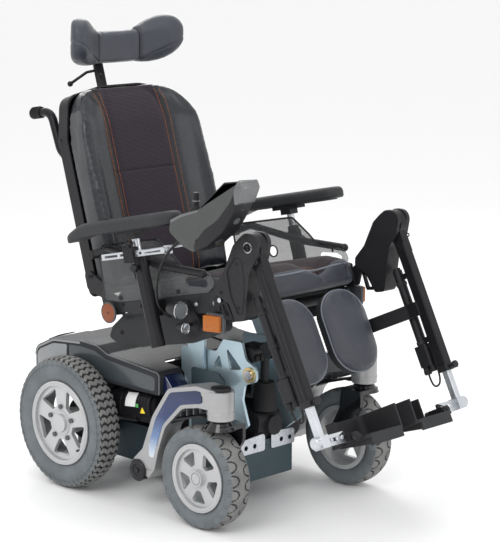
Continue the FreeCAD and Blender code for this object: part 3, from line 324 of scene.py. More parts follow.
def finish(name, tone, rough, metal=0.0, vary=0.12, patch=14.0, grain="fine", scale=900.0, bump=0.12, coat=0.0,
        sheen=0.0, worn=None, spread=0.08, rounding=0.0009):
    """Surface with colour variation, roughness variation, surface grain and worn edges."""
    made = bpy.data.materials.new(name)
    made.use_nodes = True
    tree = made.node_tree
    join = tree.links.new
    shader = shader_of(made)
    space = node(tree, "ShaderNodeTexCoord").outputs["Object"]
    cloud = noise(tree, space, patch, 4.0)
    dark = tuple(c * (1 - vary) for c in tone)
    light = tuple(min(1, c * (1 + vary)) for c in tone)
    colour = ramp(tree, cloud, [(0.35, dark), (0.65, light)])
    corner = node(tree, "ShaderNodeBevel", Radius=rounding)
    corner.samples = 4
    if worn:
        flat = node(tree, "ShaderNodeNewGeometry").outputs["Normal"]
        dot = node(tree, "ShaderNodeVectorMath", operation="DOT_PRODUCT")
        join(flat, dot.inputs[0])
        join(corner.outputs["Normal"], dot.inputs[1])
        mask = ramp(tree, dot.outputs["Value"], [(0.80, (0.75, 0.75, 0.75)), (0.97, (0, 0, 0))])
        scuff = noise(tree, space, 60.0, 5.0)
        edge = node(tree, "ShaderNodeMath", operation="MULTIPLY")
        join(mask, edge.inputs[0])
        join(scuff, edge.inputs[1])
        mix = node(tree, "ShaderNodeMix", data_type="RGBA")
        join(edge.outputs["Value"], mix.inputs["Factor"])
        join(colour, mix.inputs["A"])
        tune(mix, B=(*worn, 1))
        colour = mix.outputs["Result"]
    join(colour, shader.inputs["Base Color"])
    fine = noise(tree, space, patch * 6, 5.0)
    low, high = max(0.03, rough - spread), min(1, rough + spread)
    join(ramp(tree, fine, [(0.3, (low,) * 3), (0.7, (high,) * 3)]), shader.inputs["Roughness"])
    relief = node(tree, "ShaderNodeBump", Strength=bump, Distance=0.0006)
    if grain == "leather":
        cells = node(tree, "ShaderNodeTexVoronoi", Scale=scale, feature="DISTANCE_TO_EDGE")
        wobble = noise(tree, space, scale * 0.3, 2.0)
        lay = node(tree, "ShaderNodeMix", data_type="VECTOR")
        tune(lay, Factor=0.02)
        join(space, lay.inputs["A"])
        join(wobble, lay.inputs["B"])
        join(lay.outputs["Result"], cells.inputs["Vector"])
        height = ramp(tree, cells.outputs["Distance"], [(0.0, (0, 0, 0)), (0.22, (1, 1, 1))])
    elif grain == "brushed":
        height = noise(tree, space, scale, 3.0, (0.03, 1.0, 1.0))
    elif grain == "coarse":
        height = noise(tree, space, scale, 6.0)
    else:
        height = noise(tree, space, scale, 2.0)
    join(height, relief.inputs["Height"])
    join(corner.outputs["Normal"], relief.inputs["Normal"])
    join(relief.outputs["Normal"], shader.inputs["Normal"])
    tune(shader, Metallic=metal, Specular_IOR_Level=0.28 if max(tone) < 0.04 else 0.5, Coat_Weight=coat,
        Coat_Roughness=0.08, Sheen_Weight=sheen, Sheen_Roughness=0.4)
    return made


def knit(name, tone, thread, rib, across="Z"):
    """Ribbed knit: fine courses across the piece, crossed by softer wales."""
    made = bpy.data.materials.new(name)
    made.use_nodes = True
    tree = made.node_tree
    join = tree.links.new
    shader = shader_of(made)
    space = node(tree, "ShaderNodeTexCoord").outputs["Object"]
    wander = noise(tree, space, 120.0, 3.0)
    courses = node(tree, "ShaderNodeTexWave", Scale=rib, Distortion=1.2, wave_type="BANDS", bands_direction=across)
    wales = node(tree, "ShaderNodeTexWave", Scale=rib * 1.3, Distortion=0.8, wave_type="BANDS", bands_direction="Y")
    for wave in (courses, wales):
        tune(wave, Detail=2.0)
        join(space, wave.inputs["Vector"])
    both = node(tree, "ShaderNodeMath", operation="MULTIPLY")
    join(courses.outputs["Fac"], both.inputs[0])
    join(wales.outputs["Fac"], both.inputs[1])
    base = ramp(tree, both.outputs["Value"], [(0.05, tuple(c * 0.55 for c in tone)), (0.45, tone), (0.9, thread)])
    tint = node(tree, "ShaderNodeMix", data_type="RGBA", blend_type="MULTIPLY")
    tune(tint, Factor=0.35)
    join(base, tint.inputs["A"])
    join(ramp(tree, wander, [(0.3, (0.6, 0.6, 0.6)), (0.7, (1, 1, 1))]), tint.inputs["B"])
    join(tint.outputs["Result"], shader.inputs["Base Color"])
    relief = node(tree, "ShaderNodeBump", Strength=0.55, Distance=0.0012)
    join(both.outputs["Value"], relief.inputs["Height"])
    join(relief.outputs["Normal"], shader.inputs["Normal"])
    tune(shader, Roughness=0.85, Sheen_Weight=0.12, Specular_IOR_Level=0.25, Sheen_Roughness=0.5)
    return made


LEATHER = finish("leatherette", (0.032, 0.036, 0.049), 0.36, vary=0.10, grain="leather", scale=520, bump=0.30,
    sheen=0.05, worn=(0.16, 0.18, 0.21), rounding=0.002)
LEATHER_DARK = finish("bolster_leather", (0.012, 0.014, 0.019), 0.28, grain="leather", scale=480, bump=0.14,
    coat=0.35, spread=0.05, rounding=0.002)
tune(shader_of(LEATHER_DARK), Coat_Roughness=0.34)
GUSSET = finish("gusset_cloth", (0.055, 0.058, 0.062), 0.75, vary=0.10, scale=1500, bump=0.35, sheen=0.2)
KNIT = knit("back_knit", (0.024, 0.016, 0.026), (0.072, 0.050, 0.075), 95.0)
WEAVE = knit("seat_weave", (0.022, 0.013, 0.018), (0.062, 0.040, 0.048), 90.0, "X")
THREAD = finish("orange_thread", (0.45, 0.14, 0.035), 0.6, vary=0.2, patch=200, bump=0.3)
STRIP = finish("seam_leather", (0.014, 0.014, 0.017), 0.42, grain="leather", scale=700, bump=0.2)
PIPING_DARK = finish("piping_dark", (0.010, 0.010, 0.012), 0.45, bump=0.15)
PIPING_LIGHT = finish("piping_light", (0.15, 0.165, 0.195), 0.5, bump=0.15)
PU = finish("moulded_pad", (0.026, 0.027, 0.029), 0.52, vary=0.08, grain="leather", scale=900, bump=0.22, sheen=0.05)
SHELL = finish("shell_plastic", (0.012, 0.012, 0.014), 0.38, scale=1600, bump=0.16, worn=(0.07, 0.07, 0.08))
PLASTIC = finish("black_plastic", (0.012, 0.012, 0.014), 0.42, scale=1500, bump=0.16, worn=(0.08, 0.08, 0.09))
PLASTIC_MATTE = finish("matte_black", (0.018, 0.018, 0.020), 0.60, grain="coarse", scale=1300, bump=0.20,
    worn=(0.09, 0.09, 0.10))
RUBBER = finish("rubber", (0.018, 0.018, 0.019), 0.70, grain="coarse", scale=900, bump=0.25)
CABLE = finish("cable_jacket", (0.012, 0.012, 0.013), 0.45, scale=1500, bump=0.1)
SILVER = finish("silver_cover", (0.27, 0.28, 0.29), 0.34, metal=0.55, vary=0.05, patch=6, scale=2600, bump=0.05,
    coat=0.25, worn=(0.60, 0.62, 0.66), rounding=0.0015)
LID = finish("gloss_lid", (0.030, 0.032, 0.036), 0.36, vary=0.06, bump=0.03, spread=0.03, rounding=0.0015)
tune(shader_of(LID), Specular_IOR_Level=0.10)
BLUE_GLOSS = finish("blue_gloss", (0.006, 0.012, 0.050), 0.20, vary=0.10, bump=0.03, coat=0.7, rounding=0.0012)
FRAME_BLUE = finish("frame_blue", (0.032, 0.058, 0.072), 0.40, metal=0.2, vary=0.10, grain="coarse", scale=700,
    bump=0.14, worn=(0.20, 0.23, 0.26))
FRAME_GREY = finish("frame_grey", (0.026, 0.027, 0.029), 0.42, metal=0.3, vary=0.08, grain="coarse", scale=800,
    worn=(0.26, 0.27, 0.29))
BLACK_METAL = finish("black_metal", (0.013, 0.013, 0.015), 0.36, metal=0.35, grain="coarse", scale=850,
    worn=(0.16, 0.16, 0.17))
ZINC = finish("zinc_plate", (0.54, 0.69, 0.77), 0.34, metal=0.6, vary=0.03, patch=7, scale=2400, spread=0.02,
    bump=0.015)
STEEL = finish("steel", (0.56, 0.58, 0.62), 0.30, metal=0.95, vary=0.08, grain="brushed", scale=700, bump=0.06)
ALUMINIUM = finish("aluminium", (0.56, 0.58, 0.61), 0.33, metal=0.9, vary=0.05, grain="brushed", scale=900, bump=0.05)
RIM = finish("rim_paint", (0.46, 0.465, 0.47), 0.34, metal=0.35, vary=0.03, scale=2600, bump=0.03, spread=0.03,
    coat=0.15, worn=(0.60, 0.61, 0.63))
CHROME = finish("chrome", (0.80, 0.81, 0.83), 0.09, metal=1.0, vary=0.03, bump=0.01, spread=0.03)
BRASS = finish("brass", (0.66, 0.49, 0.22), 0.30, metal=0.95, vary=0.10, bump=0.06, worn=(0.85, 0.70, 0.42))
CASTING = finish("casting_silver", (0.34, 0.34, 0.345), 0.36, metal=0.45, vary=0.04, scale=2200, spread=0.03,
    bump=0.05, coat=0.2, worn=(0.70, 0.72, 0.76), rounding=0.0018)
TYRE = finish("tyre_rubber", (0.125, 0.140, 0.150), 0.72, patch=20, grain="coarse", scale=700, bump=0.22,
    worn=(0.24, 0.235, 0.23))
TREAD = finish("tread_blocks", (0.175, 0.175, 0.172), 0.80, vary=0.15, patch=30, grain="coarse", scale=500, bump=0.35,
    worn=(0.30, 0.295, 0.29))
# painted shade: the tread's rubber darkened inside the grooves
TREAD_GROOVE_PAINTED_SHADE = finish("tread_groove_painted_shade", (0.035, 0.036, 0.037), 0.85, vary=0.15, patch=30, grain="coarse", scale=500,
    bump=0.25)
GLOSS_BLACK = finish("gloss_black", (0.008, 0.008, 0.010), 0.20, vary=0.08, bump=0.04, coat=0.5, spread=0.04,
    rounding=0.002)
PANEL = finish("panel_grey", (0.10, 0.106, 0.108), 0.22, vary=0.04, scale=1800, bump=0.03, spread=0.03)
tune(shader_of(PANEL), Alpha=0.46)
POD = finish("pod_grey", (0.048, 0.052, 0.051), 0.44, vary=0.06, scale=1600, bump=0.18, worn=(0.17, 0.17, 0.18))
CAP_SILVER = finish("cap_silver", (0.16, 0.165, 0.17), 0.34, metal=0.6, vary=0.05, bump=0.05)
WHITE = finish("white_plate", (0.78, 0.79, 0.78), 0.45, vary=0.03, bump=0.03)
GREEN = finish("green_mark", (0.10, 0.42, 0.12), 0.45, bump=0.03)
YELLOW = finish("yellow_mark", (0.85, 0.62, 0.03), 0.45, bump=0.03)
AMBER = finish("amber_lens", (0.36, 0.095, 0.003), 0.25, vary=0.10, patch=300, grain="coarse", scale=420, bump=0.35)
AMBER_DARK = finish("amber_reflector", (0.20, 0.042, 0.004), 0.30, vary=0.10, patch=300, grain="coarse", scale=420,
    bump=0.35)
SLATE = finish("slate_gloss", (0.042, 0.050, 0.056), 0.24, vary=0.08, bump=0.03, coat=0.25, spread=0.03,
    rounding=0.0015)
GREY_TRIM = finish("grey_trim", (0.060, 0.063, 0.070), 0.40, bump=0.1, worn=(0.32, 0.33, 0.35))
# castor arm inlay: dark blue gloss, with a painted reflection lightening it to near white towards its lower tip
INLAY_WITH_PAINTED_REFLECTION = finish("arm_inlay_painted_reflection", (0.01, 0.02, 0.06), 0.26, vary=0.05, bump=0.03, coat=0.15, spread=0.03)
inlay_tree = INLAY_WITH_PAINTED_REFLECTION.node_tree
height = node(inlay_tree, "ShaderNodeSeparateXYZ")
inlay_tree.links.new(node(inlay_tree, "ShaderNodeTexCoord").outputs["Object"], height.inputs["Vector"])
reflection_fade = node(inlay_tree, "ShaderNodeMapRange")
tune(reflection_fade, From_Min=0.15, From_Max=0.36)
inlay_tree.links.new(height.outputs["Z"], reflection_fade.inputs["Value"])
# the near white stop at the bottom is painted reflection; the blues above are the inlay's own colour
inlay_tree.links.new(ramp(inlay_tree, reflection_fade.outputs["Result"], [(0.0, (0.62, 0.68, 0.74)), (0.28, (0.12, 0.20, 0.38)),
    (0.55, (0.012, 0.030, 0.115)), (1.0, (0.006, 0.014, 0.055))]), shader_of(INLAY_WITH_PAINTED_REFLECTION).inputs["Base Color"])
GLASS = finish("lamp_glass", (0.86, 0.90, 0.94), 0.06, vary=0.03, grain="coarse", scale=260, bump=0.25)
tune(shader_of(GLASS), Transmission_Weight=0.85)


# ---- soft goods ---------------------------------------------------------------------
def puff(thing, voxel, cap, frames=18, pressure=4.0, still=None):
    """Swell a closed pad as filled cloth, cap how far its skin moves, and subdivide once."""
    scene = bpy.context.scene
    remesh = thing.modifiers.new("remesh", "REMESH")
    remesh.mode = "VOXEL"
    remesh.voxel_size = voxel
    bpy.context.view_layer.update()
    body = thing["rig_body"]
    materials = list(thing.data.materials)
    name = thing.name
    thing.parent = None
    thing.matrix_world = Matrix.Identity(4)
    bpy.context.view_layer.update()
    skin = evaluated(thing)
    thing.modifiers.clear()
    rest = [v.co.copy() for v in skin.vertices]
    work = placed("work", skin)
    cloth = work.modifiers.new("cloth", "CLOTH")
    cloth.settings.quality = 4
    cloth.settings.use_pressure = True
    cloth.settings.uniform_pressure_force = pressure
    cloth.settings.effector_weights.gravity = 0
    cloth.collision_settings.use_collision = False
    if still:
        group = work.vertex_groups.new(name="still")
        held = [v.index for v in skin.vertices if still(v.co)]
        group.add(held, 1.0, "REPLACE")
        cloth.settings.vertex_group_mass = "still"
    for step in range(1, frames + 1):
        scene.frame_set(step)
    swollen = evaluated(work)
    moved = [v.co.copy() for v in swollen.vertices]
    scene.frame_set(1)
    bpy.data.objects.remove(work)
    if len(moved) == len(rest):
        for vertex, home, away in zip(skin.vertices, rest, moved):
            step = away - home
            if step.length > cap:
                step *= cap / step.length
            vertex.co = home + step
    work = bmesh.new()
    work.from_mesh(skin)
    bmesh.ops.subdivide_edges(work, edges=work.edges, cuts=1, use_grid_fill=True, smooth=0)
    for _ in range(9):
        bmesh.ops.smooth_vert(work, verts=work.verts, factor=0.5, use_axis_x=True, use_axis_y=True, use_axis_z=True)
    work.to_mesh(skin)
    work.free()
    bpy.data.objects.remove(thing)
    made = placed(name, skin)
    skin.materials.clear()
    for material in materials:
        skin.materials.append(material)
    for face in skin.polygons:
        face.use_smooth = True
    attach(made, body)
    return made


def groove(thing, place, depth):
    """Press seams into a pad: depth(point in mm) gives how far in, in mm."""
    back = place.inverted()
    normals = [vertex.normal.copy() for vertex in thing.data.vertices]
    for vertex, normal in zip(thing.data.vertices, normals):
        vertex.co -= normal * (depth(back @ vertex.co) * 0.001)


def near(value, centre, width):
    return exp(-((value - centre) / width) ** 2)


def tree_of(thing):
    return BVHTree.FromPolygons([v.co for v in thing.data.vertices], [tuple(p.vertices) for p in thing.data.polygons])


def drape(tree, place, spots, raise_by=0.0004):
    """Drop (start, direction) rays in a drawing frame onto a pad."""
    out = []
    turn = place.to_3x3()
    for start, direction in spots:
        hit, normal, _, _ = tree.ray_cast(place @ Vector(start), (turn @ Vector(direction)).normalized())
        if hit is not None:
            out.append((hit + normal * raise_by, normal))
    return out


def resample(hits, step):
    """Evenly spaced (point, normal, direction) along a draped line."""
    out = []
    carry = 0.0
    for (a, na), (b, nb) in zip(hits, hits[1:]):
        run = (b - a).length
        if run < 1e-7 or run > 0.05:
            continue
        while carry < run:
            out.append((a.lerp(b, carry / run), na.lerp(nb, carry / run).normalized(), (b - a).normalized()))
            carry += step
        carry -= run
    return out


def stitched(name, rows, body, long=0.0046, step=0.0068, thick=0.00075):
    """Rows of raised stitches along draped lines."""
    verts, faces = [], []
    for hits in rows:
        for spot, normal, along in resample(hits, step):
            side = along.cross(normal).normalized()
            base = len(verts)
            for t, r, up in ((-0.5, 0.3, 0.0), (-0.3, 1.0, 0.5), (0.3, 1.0, 0.5), (0.5, 0.3, 0.0)):
                centre = spot + along * (t * long) + normal * (up * thick)
                for k in range(6):
                    a = pi * k / 3
                    verts.append(centre + (side * cos(a) + normal * sin(a)) * thick * r)
            for ring in range(3):
                for k in range(6):
                    j = (k + 1) % 6
                    p = base + ring * 6
                    faces.append((p + k, p + j, p + 6 + j, p + 6 + k))
            faces.append(tuple(base + k for k in range(5, -1, -1)))
            faces.append(tuple(base + 18 + k for k in range(6)))
    return piece(name, verts, faces, Matrix.Identity(4), body, THREAD)


def ribbon(name, left, right, body, material):
    """Flat strip between two draped lines."""
    count = min(len(left), len(right))
    verts = []
    for (a, na), (b, nb) in zip(left[:count], right[:count]):
        middle = (a + b) / 2 + (na + nb) * 0.0003
        verts.extend([a - na * 0.0006, a + na * 0.0002, middle, b + nb * 0.0002, b - nb * 0.0006])
    faces = [(i * 5 + k, i * 5 + k + 1, i * 5 + k + 6, i * 5 + k + 5) for i in range(count - 1) for k in range(4)]
    return piece(name, verts, faces, Matrix.Identity(4), body, material)


def sew(name, tree, place, body, rays, strip_rays):
    """Two rows of stitches along the seam on each side, and a flat strip between them; rays(y) crosses the pad."""
    for side, s in SIDES:
        rows = [drape(tree, place, rays(s * (SEAM_Y + d))) for d in (-9, 9)]
        stitched(f"{name}_stitches_{side}", rows, body)
        low, high = (drape(tree, place, strip_rays(s * (SEAM_Y + d))) for d in (-5, 5))
        ribbon(f"{name}_strip_{side}", low, high, body, STRIP)


# seat cushion: crowned top with leg troughs, wrapped front, sewn panels
SEAM_Y = 110.0


def trough(y):
    """Height of the cushion's top across the seat, from its flat level."""
    y = abs(y)
    return 4 - 26 * near(y, SEAM_Y, 36) - 8 * near(y, 233, 18)


def seat_rings():
    corners = [(-424, 191, 6), (-424, 248, 26), (-40, 251, 60), (12, 243, 26), (15, 203, 28), (6, 178, 9),
        (-19, 178, 3), (-19, 191, 2)]
    base = outline(corners, 6)
    rings = [(-231, 12), (-229.5, 7), (-226, 3), (-219, 0.8), (-208, 0)]
    rings += [(y, 0) for y in range(-192, 193, 16)]
    rings += [(-y, draw) for y, draw in reversed(rings[:5])]
    out = []
    for y, draw in rings:
        ring = []
        for p in inset(base, draw):
            lift = trough(y) * min(1.0, max(0.0, (p.y - 200) / 40)) * (0.55 + 0.45 * min(1,
                max(0, (p.x + 330) / 300)))
            ring.append((p.x, y, max(191.0, p.y + lift) if p.x < -20 else p.y + lift))
        out.append(ring)
    return out


seat = loft("seat_cushion_pad", seat_rings(), SEAT, "seat", [WEAVE, LEATHER])
seat = puff(seat, voxel=0.0065, cap=0.007, still=lambda co: (TO_SEAT @ co).z < 193)
groove(seat, SEAT, lambda p: (3.2 * near(abs(p.y), SEAM_Y, 3.2) + 2.4 * near(abs(p.y), 205, 3.0)) * (p.z > 200))
seat_tree = tree_of(seat)


def seat_face(middle, normal):
    p = TO_SEAT @ middle
    return 1 if (p.x > -4 or abs(p.y) > 206 or p.z < 215) else 0


split_by(seat, seat_face)
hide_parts("seat_cushion")


def over_seat(y):
    """Rays over the cushion's top and down its front at one station across."""
    spots = [((x, y, 330), (0, 0, -1)) for x in range(-408, -40, 6)]
    for turn in range(90, 20, -4):
        a = radians(turn)
        spots.append(((-40 + 130 * cos(a), y, 212 + 130 * sin(a)), (-cos(a), 0, -sin(a))))
    return spots


sew("seat", seat_tree, SEAT, "seat", over_seat, over_seat)

wave = []
for y in range(-222, 223, 6):
    a = radians(34 - 4 * cos(y / 222 * pi * 2))
    wave.append(((-40 + 140 * cos(a), y, 208 + 140 * sin(a)), (-cos(a), 0, -sin(a))))
line = [spot for spot, _ in drape(seat_tree, SEAT, wave, 0.0012)]
for _ in range(40):
    line = line[:1] + [(a + b * 2 + c) / 4 for a, b, c in zip(line, line[1:], line[2:])] + line[-1:]
tube("seat_front_piping", line, 0.0024, "seat", PIPING_LIGHT, sides=8, up=(0, 0, 1))

roll = [(-428 + 1.5 * cos(y / 31), y, 249 + 1.2 * sin(y / 23)) for y in range(-192, 193, 24)]
tube("seat_rear_roll", smooth_line(roll, SEAT), 0.0085, "seat", GUSSET, sides=14, up=(1, 0, 0))

# back cushion: knit centre panel between leather bolsters, lumbar seam across
LUMBAR = 322.0
WIDTHS = ((22, 205), (26, 211), (34, 215), (60, 216.5), (120, 217), (200, 217), (280, 217), (340, 217), (400, 216),
    (430, 214), (460, 209), (490, 200), (512, 190), (530, 178), (544, 162), (553, 144), (560, 118), (564, 88))


def back_profile(bz, half):
    """Ring across the back at one height: front face from the right edge to the left, then the rear."""
    lip = 8 + 24 * near(bz, 215, 190)
    front = [(0, -12), (0.22, -12), (0.42, -13), (0.495, -18), (0.52, -17), (0.60, -7), (0.70, 0), (0.80, 5),
        (0.89, 10 + lip * 0.25), (0.945, 8 + lip * 0.72), (0.98, 2 + lip * 0.72), (1.0, -10 + lip * 0.6)]
    right = [(bx, -f * half) for f, bx in reversed(front)]
    left = [(bx, f * half) for f, bx in front[1:]]
    drop = 1.0 if bz < 470 else max(0.25, 1 - (bz - 470) / 135)
    ring = [(-50 + (bx + 50) * drop, y) for bx, y in right + left]
    return ring + [(-50, half), (-50, half * 0.5), (-50, 0), (-50, -half * 0.5), (-50, -half)]


rings = [[(bx, y, bz) for bx, y in back_profile(bz, half)] for bz, half in WIDTHS]
back = loft("back_cushion_pad", rings, BACK, "back", [KNIT, LEATHER_DARK, GUSSET])
back = puff(back, voxel=0.0065, cap=0.007, still=lambda co: (TO_BACK @ co).x < -48)


def back_seams(p):
    """Depth of the back's seams at a point: two upright, one across the lumbar part, two along the edges."""
    upright = 3.4 * near(abs(p.y), SEAM_Y, 3.2)
    lumbar = 2.6 * near(p.z, LUMBAR, 3.0) * (abs(p.y) < SEAM_Y)
    edges = 2.0 * near(abs(p.y), 205, 3.0) * (p.z < 440)
    return (p.x > -45) * (upright + lumbar + edges)


groove(back, BACK, back_seams)


def back_face(middle, normal):
    p = TO_BACK @ middle
    n = TO_BACK.to_3x3() @ normal
    if abs(p.y) < SEAM_Y and p.x > -44 and p.z < 556:
        return 0
    return 2 if n.y * (1 if p.y > 0 else -1) > 0.75 * n.length and abs(p.y) > 196 and p.x < 6 else 1


split_by(back, back_face)
back_tree = tree_of(back)
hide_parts("back_cushion")


def up_back(y, last):
    """Rays up the back's front face and over its top edge."""
    spots = [((120, y, z), (-1, 0, 0)) for z in range(34, 505, 6)]
    for turn in range(0, last, 4):
        a = radians(turn)
        spots.append(((-48 + 170 * cos(a), y, 504 + 170 * sin(a)), (-cos(a), 0, -sin(a))))
    return spots


sew("back", back_tree, BACK, "back", lambda y: up_back(y, 68), lambda y: up_back(y, 72))
across = [((120, y, LUMBAR), (-1, 0, 0)) for y in range(-104, 105, 4)]
line = [spot for spot, _ in drape(back_tree, BACK, across, 0.0)]
tube("lumbar_seam", line, 0.0013, "back", STRIP, sides=6, up=(0, 0, 1))

# headrest: centre pad and two wings
HEAD_PATH = ((0, -132, 1156, 18, 48), (35, -132, 1156, 18, 48), (64, -131, 1157, 18, 48.5),
    (72, -130, 1158, 19, 49.5), (80, -127, 1160, 23, 52), (94, -123, 1163, 25, 55.5), (114, -114, 1169, 26, 60),
    (134, -101, 1175, 26, 62), (152, -86, 1180, 25.5, 60), (167, -71, 1184, 24.5, 53), (177, -60, 1186, 22, 43),
    (184, -52, 1187, 17, 31), (188, -47, 1187, 9, 18))


def head_rings():
    half = list(HEAD_PATH)
    stations = [(-y, x, z, t, h) for y, x, z, t, h in reversed(half[1:])] + half
    rings = []
    for i, (y, x, z, t, h) in enumerate(stations):
        a, b = stations[max(i - 1, 0)], stations[min(i + 1, len(stations) - 1)]
        along = Vector((b[1] - a[1], b[0] - a[0])).normalized()
        out = Vector((along.y, -along.x))
        ring = []
        for p in outline(rect(-t, -h, t, h, t * 0.5, t * 0.85, t * 0.85, t * 0.5), 5):
            ring.append((x + out.x * p.x, y + out.y * p.x, z + p.y))
        rings.append(ring)
    return rings


head = loft("headrest_cushion", head_rings(), CHAIR, "headrest", [LEATHER])
head = puff(head, voxel=0.005, cap=0.005)


def head_seams(p):
    """Depth of the headrest's seams at a point: where the wings start, and a slanted one along each wing."""
    wing_start = 6.0 * near(abs(p.y), 74, 5.0)
    slanted = 2.2 * near(p.z - 1122 - (abs(p.y) - 80) * 0.52, 0, 3.0)
    return wing_start + slanted * (abs(p.y) > 80) * (p.x > -110)


groove(head, CHAIR, head_seams)
head_tree = tree_of(head)
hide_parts("headrest_pad")
for side, s in SIDES:
    loop = []
    for turn in range(0, 360, 6):
        a = radians(turn)
        loop.append(((-129 + 90 * cos(a), s * 74, 1159 + 90 * sin(a)), (-cos(a), 0, -sin(a))))
    line = [spot for spot, _ in drape(head_tree, CHAIR, loop, 0.0004)]
    tube(f"headrest_piping_{side}", line + line[:1], 0.0017, "headrest", PIPING_DARK, sides=6)
for side, s in SIDES:
    slab(f"headrest_ear_{side}", [(-190, 1124, 9), (-190, 1146, 9), (-148, 1172, 6), (-148, 1122, 6)], "y",
        s * 21 - 3, s * 21 + 3, CHAIR, "headrest", GREY_TRIM, edge=0.8)
slab("headrest_bracket", rect(-30, 1118, 30, 1178, 8), "x", -157, -150, CHAIR, "headrest", GREY_TRIM, edge=1.2)

# calf pads
for side, s in SIDES:
    rings = []
    base = [Vector((p.x, p.y)) for p in outline(rect(-73, -109, 73, 109, 68), 12)]
    for x, draw in ((-149, 4), (-148, 1.5), (-145, 0.6), (-132, 0.6), (-122, 0.8), (-117, 3), (-113, 9), (-110.5, 20),
            (-109, 34), (-108.3, 48), (-108, 60)):
        ring = []
        for p in base:
            k = 1 - draw / 70.0
            ring.append((x, s * (95 + p.x * 1.09 * (1 - draw / 73)), -206 + p.y * (1 - draw / 109 * 1.05) if k > 0
                else -206))
        rings.append(ring)
    pad = loft(f"calf_cushion_{side}", rings, LEG, f"calf_{side}", [LEATHER, PLASTIC_MATTE])
    pad = puff(pad, voxel=0.0045, cap=0.004, frames=14, still=lambda co: (TO_LEG @ co).x < -124)
    split_by(pad, lambda middle, normal: 1 if (TO_LEG @ middle).x < -124 else 0)
    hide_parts(f"calf_pad_{side}")
    rim = [LEG @ Vector((-123.5, s * (95 + p.x * 1.085), -206 + p.y * 0.997)) for p in base]
    tube(f"calf_piping_{side}", rim + rim[:1], 0.0021, f"calf_{side}", PIPING_LIGHT, sides=8, up=(1, 0, 0))
    for y in (84, 104):
        slab(f"calf_lug_{side}_{y}", [(-163, -213, 3), (-163, -199, 3), (-147, -197, 1), (-147, -215, 1)], "y", s * y,
            s * (y + 6), LEG, f"calf_{side}", BLACK_METAL, edge=0.8)

# armrest pads: moulded, rear end cranked down
ARM_PATH = ((-467, 402.5, 20, 8, 297), (-464, 403, 26, 11, 297.5), (-455, 405, 30, 13, 298),
    (-440, 409, 32, 14.5, 298), (-420, 415.5, 33, 15.5, 298), (-400, 420, 33.5, 16, 298), (-380, 422, 34, 16, 298),
    (-300, 422, 34, 16, 298), (-200, 422, 34, 16, 298), (-130, 422, 34, 16, 298), (-96, 422, 33, 15.8, 298),
    (-78, 422, 29, 15.2, 298), (-67, 421.5, 22, 13.5, 298), (-61, 421, 14, 10, 298), (-58.5, 420.5, 7, 6, 298))
for side, s in SIDES:
    rings = []
    for x, z, half, thick, y in ARM_PATH:
        soft = min(half, thick) * 0.85
        ring = []
        for p in outline(rect(-half, -thick, half, thick, soft * 0.5, soft * 0.5, soft, soft), 5):
            crown = 1.6 * (1 - (p.x / half) ** 2) if p.y > 0 else 0
            ring.append((x, s * (y + p.x), z + p.y + crown - 1.4))
        rings.append(ring)
    pad = loft(f"armrest_pad_{side}", rings, SEAT, f"armrest_{side}", [PU])
    smooth = pad.modifiers.new("smooth", "SUBSURF")
    smooth.levels = smooth.render_levels = 1
    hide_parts(f"arm_pad_{side}")
    slab(f"armrest_base_{side}", rect(-392, s * 326, -84, s * 270, 16, 24, 24, 16), "z", 402.5, 407, SEAT,
        f"armrest_{side}", PLASTIC, edge=1.0)


# ---- wheels ---------------------------------------------------------------------------
def smoothstep(value, low, high):
    t = min(1.0, max(0.0, (value - low) / (high - low)))
    return t * t * (3 - 2 * t)


def block_tread(turn, across):
    """1 on a block, 0 in a groove: six zigzag rows of slanted blocks."""
    row = (across + 0.96) / 0.32
    place_in = row % 1.0
    lean_by = 0.42 * (place_in if int(row) % 2 else 1 - place_in)
    gap = abs(((turn + lean_by) % 1.0) - 0.5)
    depth = smoothstep(gap, 0.14, 0.22)
    side_gap = min(place_in, 1 - place_in)
    return min(depth, 0.35 + 0.65 * smoothstep(side_gap, 0.05, 0.12))


def lug_tread(turn, across):
    """Half-oval lugs outlined by fine grooves, open to the shoulders."""
    u = (((turn + (0.5 if across > 0 else 0.0)) % 1.0) - 0.5) * 2 / 0.80
    v = (1.04 - abs(across)) / 0.72
    ring_gap = abs(hypot(u, v) - 1)
    depth = smoothstep(ring_gap, 0.07, 0.13)
    return depth if hypot(u, v) > 0.5 else 1.0


